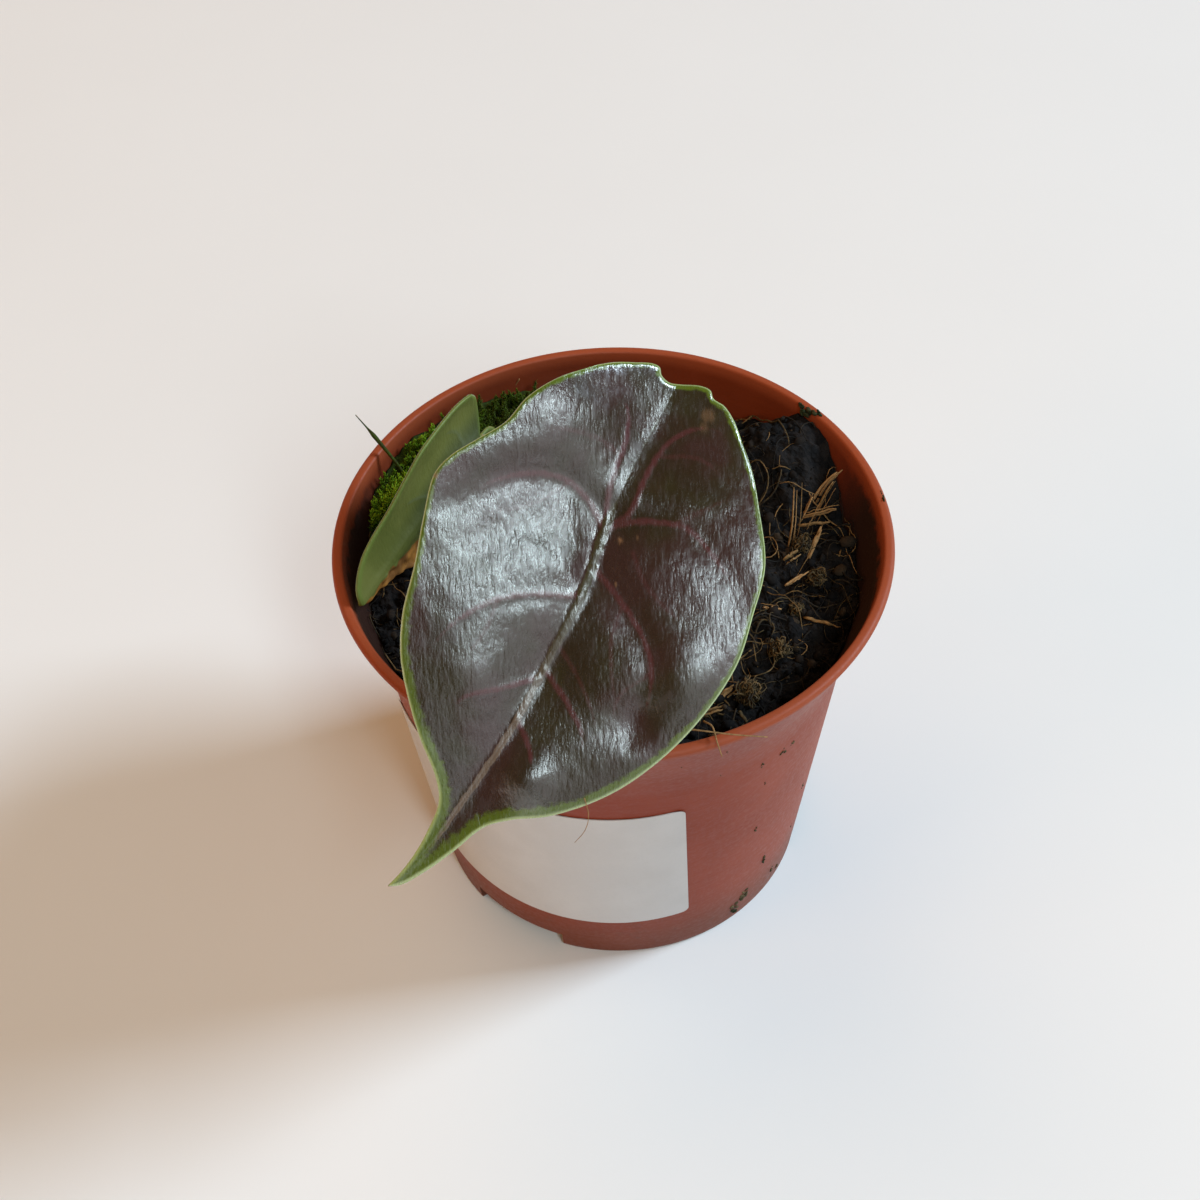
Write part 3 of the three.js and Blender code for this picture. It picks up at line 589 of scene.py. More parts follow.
def soil_material():
    shader = Shader("potting_mix", Roughness=0.95, Specular_IOR_Level=0.25)
    here = shader.place()
    lumps = shader.noise(here, 1.4, detail=6, roughness=0.65)
    threads = shader.noise(shader.stretched(here, (0.5, 2.2, 1), (0.3, 0.2, 0.9)), 0.6, detail=5)
    dark, light = (0.0028, 0.0024, 0.0027), (0.0135, 0.0105, 0.0095)
    colour = shader.mixed(shader.ranged(lumps, 0.38, 0.66), dark, light)
    colour = shader.mixed(shader.ranged(threads, 0.58, 0.78, 0, 0.45), colour, (0.035, 0.023, 0.014))
    relief = shader.bump(shader.cells(here, 0.55), 0.25, shader.bump(threads, 0.2))
    shader.set(Base_Color=colour, Normal=relief)
    return shader.material


def tinted_material(name, colours, size, relief, **values):
    """A material for many small things: the tint picks a colour from a row of them, and noise varies it."""
    shader = Shader(name, **values)
    fine = shader.noise(shader.place(), size, detail=4)
    tint = shader.maths("ADD", shader.value_of("tint"), shader.ranged(fine, 0.2, 0.8, -0.16, 0.16))
    ramp = shader.tree.nodes.new("ShaderNodeValToRGB")
    stops = ramp.color_ramp.elements
    while len(stops) < len(colours):
        stops.new(0.5)
    for k, colour in enumerate(colours):
        stops[k].position = k / (len(colours) - 1)
        stops[k].color = (*colour, 1)
    shader.feed(ramp.inputs[0], tint)
    shader.set(Base_Color=ramp.outputs[0], Normal=shader.bump(fine, relief))
    return shader.material


BIG_LEAF_COLOURS = {
    "base": (0.020, 0.012, 0.004),
    "second": (0.024, 0.020, 0.005),
    "third": (0.036, 0.013, 0.012),
    "vein": (0.082, 0.020, 0.024),
    "rib": (0.045, 0.040, 0.014),
    "rib_end": (0.17, 0.13, 0.10),
    "band": (0.085, 0.135, 0.006),
    "edge": (0.36, 0.46, 0.16),
    "under": (0.15, 0.19, 0.10),
    "under_second": (0.10, 0.13, 0.065),
    "under_vein": (0.17, 0.11, 0.08),
    # Painted shade along the midrib's fold on the underside.
    "fold_shade": (0.10, 0.12, 0.06),
    "under_edge": (0.30, 0.38, 0.14),
}
SMALL_LEAF_COLOURS = {
    **BIG_LEAF_COLOURS,
    "band": (0.13, 0.17, 0.03),
    "edge": (0.16, 0.21, 0.05),
    "under": (0.165, 0.175, 0.038),
    "under_second": (0.12, 0.135, 0.024),
    "under_vein": (0.12, 0.14, 0.06),
    # Painted shade along the midrib's fold on the underside.
    "fold_shade": (0.045, 0.062, 0.016),
    "under_edge": (0.14, 0.20, 0.03),
}


def upper_colour(shader, tones, streaks, broad, tone, rough_edge):
    """The glossy face: dark ground, maroon veins, midrib, green margin and tip, and small scars."""
    margin = shader.value_of("margin")
    colour = shader.mixed(shader.ranged(broad, 0.36, 0.66), tones["base"], tones["second"])
    colour = shader.mixed(shader.ranged(tone, 0.42, 0.64), colour, tones["third"])
    colour = shader.mixed(shader.ranged(streaks, 0.5, 0.75, 0, 0.35), colour, tones["third"])
    faint = shader.maths("ADD", shader.value_of("side_vein"), rough_edge)
    colour = shader.mixed(shader.ranged(faint, 1.6, 0.2, 0, 0.4), colour, tones["vein"])
    vein = shader.maths("ADD", shader.value_of("vein"), rough_edge)
    colour = shader.mixed(shader.ranged(vein, 1.6, 0.3, 0, 0.9), colour, tones["vein"])
    rib = shader.maths("ADD", shader.value_of("rib"), rough_edge)
    rib_tone = shader.mixed(shader.ranged(shader.value_of("down"), 0.4, 0.7), tones["rib"], tones["rib_end"])
    colour = shader.mixed(shader.ranged(rib, 1.3, 0.9, 0, 0.9), colour, rib_tone)
    band = shader.ranged(shader.maths("ADD", margin, rough_edge), 1.35, 0.7)
    colour = shader.mixed(shader.maths("MAXIMUM", band, shader.value_of("tip")), colour, tones["band"])
    colour = shader.mixed(shader.ranged(margin, 0.4, 0.12), colour, tones["edge"])
    return shader.mixed(shader.value_of("spot"), colour, (0.27, 0.155, 0.085))


def under_colour(shader, tones, broad, tone, rough_edge):
    """The dull face: paler ground, painted shade along the midrib's fold, veins, margin and dried edge."""
    margin = shader.value_of("margin")
    under = shader.mixed(shader.ranged(tone, 0.35, 0.65), tones["under"], tones["under_second"])
    # Painted shade darkens the underside along the midrib, where the blade folds.
    fold_shade = shader.ranged(shader.value_of("down"), 0.75, 0.4)
    fold_shade = shader.maths("MULTIPLY", fold_shade, shader.ranged(shader.value_of("rib"), 10, 3, 0, 0.8))
    under = shader.mixed(fold_shade, under, tones["fold_shade"])
    vein = shader.maths("ADD", shader.value_of("vein"), rough_edge)
    under = shader.mixed(shader.ranged(vein, 1.1, 0.4, 0, 0.5), under, tones["under_vein"])
    under = shader.mixed(shader.ranged(margin, 1.5, 0.2, 0, 0.7), under, tones["under_edge"])
    brown = shader.mixed(shader.ranged(broad, 0.4, 0.6), (0.45, 0.19, 0.035), (0.22, 0.09, 0.02))
    dry = shader.ranged(shader.maths("ADD", shader.value_of("dry"), rough_edge), -0.1, 0.2)
    return shader.mixed(dry, under, brown)


def leaf_material(name, tones, **values):
    """Both faces of a blade. The mesh says which face, and how far each point is from veins and margin."""
    shader = Shader(name, **values)
    plane = shader.vector_of("plane")
    side = shader.value_of("side")
    # The streaks run up and down the slope of the blade.
    streaks = shader.noise(shader.stretched(plane, (1, 0.3, 0.36)), 0.38, detail=4, roughness=0.62)
    fine = shader.noise(plane, 0.16)
    broad = shader.noise(plane, 5, detail=4, distortion=0.4)
    tone = shader.noise(plane, 9)
    rough_edge = shader.ranged(shader.noise(plane, 0.8, detail=5), 0.2, 0.8, -0.35, 0.35)
    upper = upper_colour(shader, tones, streaks, broad, tone, rough_edge)
    under = under_colour(shader, tones, broad, tone, rough_edge)
    colour = shader.mixed(side, under, upper)
    relief = shader.bump(shader.noise(plane, 1.3), 0.04)
    relief = shader.bump(streaks, 0.08, relief)
    relief = shader.bump(fine, 0.006, relief)
    gloss = shader.ranged(streaks, 0.35, 0.7, 0.19, 0.33)
    dull = shader.ranged(fine, 0.3, 0.7, 0.5, 0.62)
    rough = shader.add("Mix", {0: side, 2: dull, 3: gloss})
    shader.set(Base_Color=colour, Normal=relief, Roughness=rough)
    return shader.material


def stem_material():
    shader = Shader("leaf_stem", Specular_IOR_Level=0.5, Subsurface_Weight=0.05)
    here = shader.place()
    along = shader.noise(shader.stretched(here, (1, 1, 0.25)), 0.7, detail=4)
    blotches = shader.noise(here, 1.6, detail=5, distortion=0.5)
    colour = shader.mixed(shader.ranged(along, 0.35, 0.68), (0.13, 0.17, 0.045), (0.20, 0.235, 0.08))
    colour = shader.mixed(shader.ranged(blotches, 0.55, 0.66, 0, 0.7), colour, (0.10, 0.045, 0.03))
    rough = shader.ranged(along, 0.3, 0.7, 0.35, 0.5)
    shader.set(Base_Color=colour, Normal=shader.bump(along, 0.04), Roughness=rough)
    return shader.material


def corm_material():
    shader = Shader("corm", Roughness=0.9, Specular_IOR_Level=0.3)
    rings = shader.noise(shader.stretched(shader.place(), (0.6, 0.6, 3)), 1.2, detail=5)
    colour = shader.mixed(shader.ranged(rings, 0.35, 0.68), (0.07, 0.035, 0.018), (0.22, 0.13, 0.065))
    shader.set(Base_Color=colour, Normal=shader.bump(rings, 0.15))
    return shader.material


def floor_material():
    shader = Shader("pale_floor", Roughness=0.55, Specular_IOR_Level=0.25)
    cloud = shader.noise(shader.place(), 60)
    shader.set(Base_Color=shader.mixed(cloud, (0.79, 0.785, 0.78), (0.82, 0.82, 0.82)))
    return shader.material


# Pot and label

def radius_of_wall(z):
    """Radius of the outside of the wall at a height."""
    radii, heights = np.array(POT["outside"]).T
    return np.interp(z, heights, radii)


def inside_radius(z):
    """Radius of the inside of the wall at a height. At the top the thicker lip stands further in."""
    return np.minimum(radius_of_wall(z) - POT["wall"], POT["outside"][-1][0] - POT["lip"])


def arc(centre, radius, start, end, steps):
    return (centre + polar(radius, np.linspace(start, end, steps), 0)[:, :2]).tolist()


def pot_profile():
    """From the middle of the base out, up the outside, over the lip and down the inside to the floor."""
    foot_radius, rim_radius = POT["outside"][0][0], POT["outside"][-1][0]
    recess, foot_edge, rounding = POT["recess"], POT["foot_edge"], POT["inner_rounding"]
    flare = curve_through(POT["outside"][1:], 26).tolist()
    straight = [[float(radius_of_wall(z)), z] for z in np.linspace(1, 37, 12)]
    outer_lip = (rim_radius - POT["outer_rounding"], POT["height"] - POT["outer_rounding"])
    inner_lip = (rim_radius - POT["lip"] + rounding, POT["height"] - rounding)
    floor_radius = float(inside_radius(POT["floor"]))
    tiny = 0.01
    return [
        [tiny, 0],
        [POT["centre"], 0],
        [POT["centre"] + recess, recess],
        [foot_radius - POT["foot"] - recess, recess],
        [foot_radius - POT["foot"], 0],
        [foot_radius - foot_edge, 0],
        *arc((foot_radius - foot_edge, foot_edge), foot_edge, -70, -10, 4),
        *straight,
        *flare[:-2],
        *arc(outer_lip, POT["outer_rounding"], 0, 90, 8),
        *arc(inner_lip, rounding, 90, 180, 6),
        *[[radius - POT["wall"], z] for radius, z in flare[-7:0:-1]],
        [float(inside_radius(37)), 37],
        [float(inside_radius(20)), 20],
        [floor_radius, POT["floor"] + POT["inner_corner"]],
        [floor_radius - POT["inner_corner"], POT["floor"]],
        [tiny, POT["floor"]],
    ]


def notch_cutter(angle):
    """A curved block that cuts one drain notch through the foot of the wall."""
    steps = 13
    outer = float(radius_of_wall(NOTCH["height"])) + 1
    low, high = -1, NOTCH["height"]
    section = [(NOTCH["inner"], low), (outer, low), (outer, high), (NOTCH["inner"], high)]
    turns = np.linspace(angle, angle + NOTCH["width"], steps)
    points = np.stack([polar(radius, turns, z) for radius, z in section], 1).reshape(-1, 3)
    return bare_object("notch", points, ring_faces(steps, len(section)))


def build_pot():
    points, faces = turned(pot_profile(), POT["segments"])
    pot = piece("pot_shell", points, faces, pot_material(), ["pot"])
    cutters = [notch_cutter(NOTCH["first"] + k * 360 / NOTCH["count"]) for k in range(NOTCH["count"])]
    for cutter in cutters:
        cut = pot.modifiers.new("notch", "BOOLEAN")
        cut.object = cutter
        cut.operation = "DIFFERENCE"
        cut.solver = "EXACT"
    bpy.context.view_layer.update()
    shaped = bpy.data.meshes.new_from_object(pot.evaluated_get(bpy.context.evaluated_depsgraph_get()))
    pot.modifiers.clear()
    pot.data = shaped
    for cutter in cutters:
        bpy.data.objects.remove(cutter)
    pot.data.set_sharp_from_angle(angle=math.radians(35))


def build_label():
    """Flat paper with rounded corners. Its place is found on the cone of the wall laid out flat."""
    (foot_radius, foot), (flare_radius, flare) = POT["outside"][:2]
    slope = math.atan2(flare_radius - foot_radius, flare - foot)
    spread = math.sin(slope)
    bottom = (foot_radius + (LABEL["bottom"] - foot) * math.tan(slope)) / spread
    corner, height = LABEL["corner"], LABEL["height"]
    bends = corner * (1 - np.cos(np.linspace(0, math.pi / 2, 8)))
    ups = np.r_[bends, np.linspace(corner, height - corner, 24)[1:-1], height - bends[::-1]]
    short = np.maximum(corner - np.minimum(ups, height - ups), 0)
    inset = corner - np.sqrt(corner**2 - short**2)
    left = (LABEL["left"] + inset)[:, None]
    right = (LABEL["right"] - inset)[:, None]
    aside = left + (right - left) * np.linspace(0, 1, 70)
    down = bottom + ups[:, None]
    angle = LABEL["axis"] + np.degrees(np.arctan2(aside, down) / spread)
    radius = np.hypot(aside, down) * spread
    z = foot + (radius - foot_radius) / math.tan(slope)
    points = sheet_values(polar(radius + LABEL["outer"], angle, z), polar(radius + LABEL["inner"], angle, z))
    label = piece("label_sheet", points, sheet_faces(*z.shape), label_material(), ["label"])
    label.data.set_sharp_from_angle(angle=math.radians(50))


# Soil

def soil_height(x, y):
    """The form of the mix: level with lumps, and banked up at the back right and under the moss."""
    lumpiness = (
        np.sin(0.55 * x + 0.3 * y + 1.1) * 0.4
        + np.sin(-0.35 * x + 0.8 * y + 2.3) * 0.35
        + np.sin(1.5 * x - 1.1 * y) * np.cos(0.9 * x + 1.7 * y) * 0.45
    )
    height = SOIL["level"] + SOIL["lumps"] * lumpiness
    for bank in SOIL["banks"]:
        angle = math.radians(bank["angle"])
        inward = (x * math.cos(angle) + y * math.sin(angle) - bank["radius"]) / bank["inward"]
        along = (y * math.cos(angle) - x * math.sin(angle)) / bank["along"]
        height = height + bank["height"] * np.exp(-(inward**2) - along**2)
    return np.minimum(height, SOIL["highest"])


def soil_surface(x, y):
    """The form with its clods and crumbs."""
    clods = grain(x, y, 2.6, 3.1) * 0.75 + grain(x, y, 1.2, 7.7) * 0.5
    crumbs = np.abs(grain(x, y, 0.75, 1.3)) * 0.5 + grain(x, y, 0.4, 5.9) * 0.2
    return np.minimum(soil_height(x, y) + clods - crumbs, SOIL["highest"])


def build_soil():
    """A body that fills the pot. Its rings go up from the floor along the wall, then in over the top."""
    segments, rings = SOIL["segments"], SOIL["rings"]
    angles = np.arange(segments) * 360 / segments
    bottom = POT["floor"] + GAP
    sides = [(inside_radius(bottom) - GAP - POT["inner_corner"], bottom)]
    sides += [(inside_radius(z) - GAP, z) for z in (20, 38, 41.5)]
    walls = np.array([polar(radius, angles, z) for radius, z in sides])
    edge = polar(inside_radius(SOIL["level"]) - GAP, angles, 0)
    rim = soil_height(edge[:, 0], edge[:, 1]) - 0.3
    shares = np.linspace(1, 0.004, rings)[:, None]
    top = polar((inside_radius(rim) - GAP) * shares, angles, 0)
    settled = smoothstep(1, 0.96, shares)
    top[..., 2] = rim * (1 - settled) + soil_surface(top[..., 0], top[..., 1]) * settled
    over_corm = np.hypot(top[..., 0] - CORM["x"], top[..., 1] - CORM["y"]) < CORM["radius"] + GAP
    top[over_corm, 2] = np.minimum(top[over_corm, 2], CORM["top"] - 1.2)
    points = np.concatenate([walls, top]).reshape(-1, 3)
    faces = ring_faces(len(walls) + rings, segments)
    piece("peat_and_coir", points, faces, soil_material(), ["soil"])


def lump(rng, centre, size, flatness=0.7):
    """A small irregular crumb: an icosahedron with its corners moved."""
    golden = (1 + math.sqrt(5)) / 2
    corners = np.array([(0, a, b * golden) for a in (-1, 1) for b in (-1, 1)])
    corners = unit(np.vstack([np.roll(corners, k, axis=1) for k in range(3)]))
    faces = [
        (i, j, k)
        for i in range(12) for j in range(i + 1, 12) for k in range(j + 1, 12)
        if max(math.dist(corners[a], corners[b]) for a, b in ((i, j), (j, k), (i, k))) < 1.1
    ]
    stretch = [rng.uniform(0.7, 1.3), rng.uniform(0.7, 1.3), rng.uniform(0.7, 1.2) * flatness]
    points = corners * np.array([rng.uniform(0.7, 1.2) for _ in corners])[:, None] * stretch * size
    turn = Matrix.Rotation(rng.uniform(0, 6.28), 3, Vector([rng.gauss(0, 1) for _ in range(3)]).normalized())
    return points @ np.array(turn).T + centre, faces


def spot_on_soil(rng, reach=0.0):
    """A seeded place on the mix, clear of the wall and of the corm."""
    while True:
        radius = math.sqrt(rng.random()) * (float(inside_radius(SOIL["level"])) - 0.6 - reach)
        spot = polar(radius, rng.uniform(0, 360), 0)
        if math.hypot(spot[0] - CORM["x"], spot[1] - CORM["y"]) > CORM["radius"] + 0.8:
            return spot


def kept_inside(path, clearance):
    """A path whose points are drawn in where they would meet the wall."""
    path = np.array(path)
    radius = np.hypot(path[:, 0], path[:, 1])
    limit = inside_radius(path[:, 2]) - clearance
    path[:, :2] *= np.minimum(1, limit / radius)[:, None]
    return path


def coir_fibre(rng, spot, length, thick, lift):
    """A curly fibre that wanders over the mix from a spot, and dips into it here and there."""
    heading = rng.uniform(0, 2 * math.pi)
    bend = rng.gauss(0, 0.2)
    phase = rng.uniform(0, 6.28)
    steps = max(6, int(length * 1.8))
    step = length / steps
    at = np.array(spot[:2])
    path = []
    for k in range(steps + 1):
        share = k / steps
        rise = lift * math.sin(math.pi * share) + 0.3 * math.sin(7 * share + phase)
        path.append([at[0], at[1], min(soil_height(at[0], at[1]) + 0.1 + rise, SOIL["highest"])])
        bend += rng.gauss(0, 0.13)
        heading += bend * step
        at = at + step * np.array([math.cos(heading), math.sin(heading)])
    radius = thick * (1 - 0.6 * np.abs(np.linspace(-1, 1, steps + 1)) ** 3)
    return bar(kept_inside(path, GAP + thick), radius, 5)


def coir_strip(rng, path, half_width):
    """A flat strip of husk with blunt ends."""
    points = curve_through(path, 9) + [0, 0, 1] * (0.08 * np.array([[rng.gauss(0, 1)] for _ in range(9)]))
    width = half_width * np.array([0.7, 0.9, 1, 1, 0.95, 0.9, 0.85, 0.7, 0.45])
    return bar(kept_inside(points, GAP + half_width), width, 6, flat=rng.uniform(0.25, 0.6))


def tangle(rng, centre, radius):
    """A thin fibre that winds about inside a ball."""
    ahead = np.array([rng.gauss(0, 1) for _ in range(3)])
    at = centre + 0.6 * radius * ahead / np.linalg.norm(ahead)
    path = []
    for _ in range(14):
        path.append(at)
        ahead = unit(ahead + [rng.gauss(0, 0.5) for _ in range(3)] + 1.1 * (centre - at) / radius)
        at = at + 0.3 * radius * ahead
    return bar(kept_inside(path, GAP + 0.1), rng.uniform(0.04, 0.09), 5)


def build_crumbs(rng):
    """Crumbs and clods of peat that lie loose on the mix."""
    crumbs = Pile()
    for _ in range(SOIL["crumbs"]):
        spot = spot_on_soil(rng)
        size = 0.14 + 0.8 * rng.random() ** 3.5
        height = soil_height(spot[0], spot[1]) + rng.uniform(-0.5, 0.45)
        centre = kept_inside([[spot[0], spot[1], height]], GAP + size)[0]
        crumbs.add(lump(rng, centre, size), rng.random() ** 1.6)
    colours = [(0.003, 0.0026, 0.003), (0.007, 0.0055, 0.005), (0.016, 0.011, 0.008), (0.04, 0.026, 0.015)]
    finish = tinted_material("peat_crumb", colours, 0.3, 0.05, Roughness=0.95, Specular_IOR_Level=0.2)
    crumbs.build("peat_crumbs", finish)


def build_fibres(rng):
    """Fine and coarse coir: loose curls, chips and strips of husk, tangled balls and stray fibres."""
    fibres = Pile()
    for _ in range(SOIL["fibres"]):
        thick = rng.choice((0.035, 0.045, 0.06, 0.09)) * rng.uniform(0.8, 1.3)
        lift = rng.choice((0, 0.2, 0.6, 1.4)) * rng.random()
        fibre = coir_fibre(rng, spot_on_soil(rng), rng.uniform(2, 10), thick, lift)
        fibres.add(fibre, 0.8 * rng.random() ** 1.5)
    for _ in range(SOIL["chips"]):
        spot = spot_on_soil(rng, 1.5)
        spot[2] = soil_height(spot[0], spot[1]) + rng.uniform(-0.1, 0.5)
        turn = rng.uniform(0, 2 * math.pi)
        ahead = np.array([math.cos(turn), math.sin(turn), rng.uniform(-0.3, 0.3)]) * rng.uniform(1, 2.6)
        chip = coir_strip(rng, [spot - 0.5 * ahead, spot + 0.5 * ahead], rng.uniform(0.1, 0.3))
        fibres.add(chip, rng.uniform(0.2, 0.7))
    for path in COIR_STRIPS:
        for k in range(3):
            aside = [rng.gauss(0, 0.28 * k), rng.gauss(0, 0.28 * k), rng.gauss(-0.1 * k, 0.2 * k)]
            half_width = rng.uniform(0.2, 0.3) / (1 + 0.7 * k)
            fibres.add(coir_strip(rng, np.array(path) + aside, half_width), rng.uniform(0.68, 1))
    for x, y, radius in TUFTS:
        centre = np.array([x, y, soil_height(x, y) + 0.5 * radius])
        for _ in range(THREADS):
            fibres.add(tangle(rng, centre, radius), rng.uniform(0.2, 0.62))
    for path, radius in STRAY_FIBRES:
        fibres.add(bar(curve_through(path, 24), np.linspace(radius, 0.5 * radius, 24), 6), 0.85)
    colours = [
        (0.006, 0.005, 0.004), (0.022, 0.014, 0.007), (0.075, 0.048, 0.016), (0.24, 0.135, 0.05),
        (0.40, 0.22, 0.09),
    ]
    finish = tinted_material("coir", colours, 0.35, 0.02, Roughness=0.8, Specular_IOR_Level=0.3)
    fibres.build("coir_fibres", finish)


# Moss

def moss_place(share, across, height):
    """A place in the cushion: share runs along the wall, across from its inner side out to the wall."""
    swell = np.sin(np.pi * share) ** 0.5
    inner = MOSS["end"] - (MOSS["end"] - MOSS["inner"] + 0.5 * np.sin(9 * share + 1)) * swell
    z = MOSS["seat"] + GAP + height
    outer = inside_radius(z) - GAP
    return polar(inner + (outer - inner) * across, MOSS["first"] + (MOSS["last"] - MOSS["first"]) * share, z)


def moss_height(share, across):
    dome = np.sin(np.pi * share) ** 0.5 * (1 - 0.8 * (1 - across) ** 4)
    return 0.5 + MOSS["height"] * dome + 0.35 * np.sin(23 * share + 4 * across) * np.sin(5 * across + 1)


def moss_shoot(rng, root, lean, length):
    """One shoot: a short stalk with narrow leaves that spiral up it and spread."""
    ahead = unit(np.array([lean[0] + rng.gauss(0, 0.25), lean[1] + rng.gauss(0, 0.25), 1.0]))
    side = unit(np.cross(ahead, [0.3, 0.9, 0.1]))
    other = np.cross(ahead, side)
    turn = rng.uniform(0, 6.28)
    points = []
    count = rng.randint(16, 24)
    for k in range(count):
        share = (k + 0.5) / count
        turn += 2.4
        out = side * math.cos(turn) + other * math.sin(turn)
        over = side * -math.sin(turn) + other * math.cos(turn)
        base = root + ahead * length * share
        size = rng.uniform(0.55, 0.85) * (1.1 - 0.55 * share)
        spread = 1.1 - 0.65 * share
        tip = base + (out * spread + ahead * (1.2 - 0.5 * spread)) * size
        width = 0.17 * (1.1 - 0.4 * share)
        points += [base + over * width, base - over * width, base + ahead * 0.14, tip]
    base_faces = [(0, 1, 2), (0, 1, 3), (1, 2, 3), (0, 2, 3)]
    faces = [[4 * k + corner for corner in face] for k in range(count) for face in base_faces]
    tints = np.repeat(np.linspace(0, 1, count), 4)
    return (np.array(points), faces), tints


def build_moss_cushion():
    rows, columns = 26, 130
    share = np.linspace(0, 1, columns)[None]
    across = np.linspace(0, 1, rows)[:, None]
    height = moss_height(share, across)
    x, y, _ = np.moveaxis(moss_place(share, across, height), -1, 0)
    height = height - 0.5 + grain(x, y, 1.5, 4.4) * 0.7
    upper = moss_place(share, across, np.maximum(height, 0.1))
    lower = moss_place(share, across, 0 * height)
    cushion_colours = [(0.012, 0.02, 0.004), (0.05, 0.10, 0.008), (0.12, 0.22, 0.018)]
    cushion = piece(
        "moss_cushion", sheet_values(upper, lower), sheet_faces(rows, columns),
        tinted_material("moss_floor", cushion_colours, 0.6, 0.2, Roughness=0.95, Specular_IOR_Level=0.2),
        ["moss"],
    )
    set_values(cushion, tint=np.full(len(cushion.data.vertices), 0.15))


def build_moss_shoots():
    """Leafy shoots all over the cushion, darker towards the back, and one thin fruiting stalk."""
    rng = random.Random(31)
    shoots = Pile()
    for _ in range(MOSS["shoots"]):
        share, across = rng.uniform(0.03, 0.97), rng.uniform(0.03, 0.93)
        root = moss_place(share, across, moss_height(share, across) - 0.9)
        clump = noise.noise((root[0] * 0.45, root[1] * 0.45, 2.2))
        length = rng.uniform(1.6, 2.8) + 1.4 * clump
        lean = -0.3 * root[:2] / np.hypot(root[0], root[1]) if across > 0.75 else (0, 0)
        shape, tints = moss_shoot(rng, root, lean, max(length, 0.8))
        points, faces = shape
        shade = 0.3 + 0.7 * float(smoothstep(0.25, 0.6, share))
        tints = np.clip(0.25 + 0.5 * tints * (1.05 + 0.9 * clump), 0, 1) * shade
        shoots.add((kept_inside(points, 0.15), faces), tints)
    stalk = curve_through(MOSS_STALK, 30)
    thickness = np.interp(np.linspace(0, 1, 30), [0, 0.5, 0.72, 0.82, 1], [0.16, 0.2, 0.27, 0.1, 0.05])
    shoots.add(bar(stalk, thickness, 8), 0.12)
    colours = [(0.030, 0.024, 0.002), (0.05, 0.095, 0.003), (0.13, 0.25, 0.005), (0.30, 0.47, 0.02)]
    finish = tinted_material(
        "moss_leaf", colours, 0.4, 0.03, Roughness=0.6, Specular_IOR_Level=0.15,
        Subsurface_Weight=0.1, Subsurface_Radius=(MM, MM, MM),
    )
    shoots.build("moss_shoots", finish)


# Leaves

def blade_plan(leaf):
    """A blade laid flat: a grid of [along, across] places, and their shares from -1, left, to 1, right."""
    step = np.linspace(-1, 1, 2 * leaf["columns"] + 1)
    over = step - 0.07 * np.sin(2 * np.pi * step)
    down = np.linspace(0, BLADE["end"], leaf["rows"])

    def along_curve(points, shares):
        samples = curve_through(points, 1200)
        places = np.linspace(0, 1, len(samples))
        return np.stack([np.interp(shares, places, samples[:, k]) for k in (0, 1)], -1)

    middle = along_curve(leaf["midrib"], down)[:, None]
    left = along_curve(leaf["left"], down)[:, None]
    right = along_curve(leaf["right"], down)[:, None]
    margin = np.where(over[:, None] < 0, left, right)
    flat = middle + (margin - middle) * np.abs(over)[:, None]
    lobes = along_curve(leaf["top"], (over + 1) / 2)
    pull = 1 - smoothstep(0, 0.4, down)
    return flat + (lobes - flat[0]) * pull[:, None, None], np.broadcast_to(over, flat.shape[:2])


def vein_distance(flat, veins, widths):
    """Distance from the nearest vein in that vein's widths. It grows towards the veins' ends."""
    from_vein = np.full(flat.shape[:2], 9.0)
    for vein in veins:
        distance, share = nearest(flat, curve_through(vein, 160))
        width = widths[0] + (widths[1] - widths[0]) * share
        from_vein = np.minimum(from_vein, distance / width + 1.5 * smoothstep(0.6, 1, share))
    return from_vein


def vein_relief(flat, veins, folds):
    """How deep the blade folds at the veins, and how far each vein stands up as a fine ridge in its fold."""
    sunk = np.zeros(flat.shape[:2])
    raised = np.zeros(flat.shape[:2])
    for vein, (depth, width) in zip(veins, folds):
        distance, share = nearest(flat, curve_through(vein, 160))
        sunk += (depth * np.exp(-((distance / width) ** 2)) * (1 - 0.6 * share)) ** 3
        raised = np.maximum(raised, np.exp(-((distance / BLADE["ridge_width"]) ** 2)) * (1 - share))
    return np.cbrt(sunk), raised


def wing_height(leaf, along, across, over, from_rib):
    """How the two halves rise from the midrib, with their broad swells and dips."""
    rise = np.where(over < 0, leaf["rise"]["left"], leaf["rise"]["right"])
    crest = np.where(over < 0, leaf["crest"]["left"], leaf["crest"]["right"]) - leaf["narrowing"] * along
    wings = rise * 2 * crest / np.pi * np.sin(np.pi / 2 * np.clip(from_rib / np.maximum(crest, 4), 0, 2))
    for swell_along, swell_across, radius, height in leaf["swells"]:
        away = ((along - swell_along) ** 2 + (across - swell_across) ** 2) / radius**2
        wings = wings + height * np.exp(-away)
    return wings


def spot_strength(leaf, along, across):
    """How strongly each place shows a scar or a speck."""
    spot = np.zeros(along.shape)
    for spot_along, spot_across, radius, strength in leaf["spots"]:
        away = np.hypot(along - spot_along, across - spot_across) / radius
        spot = np.maximum(spot, strength * smoothstep(1.1, 0.5, away + 0.3 * grain(along, across, 0.3, 1.7)))
    return spot


def leaf_lean(leaf):
    """How a blade leans: its tilt from level, then its turn about +Z."""
    tilt = Matrix.Rotation(math.radians(leaf["tilt"]), 3, "X")
    return Matrix.Rotation(math.radians(leaf["turn"]), 3, "Z") @ tilt


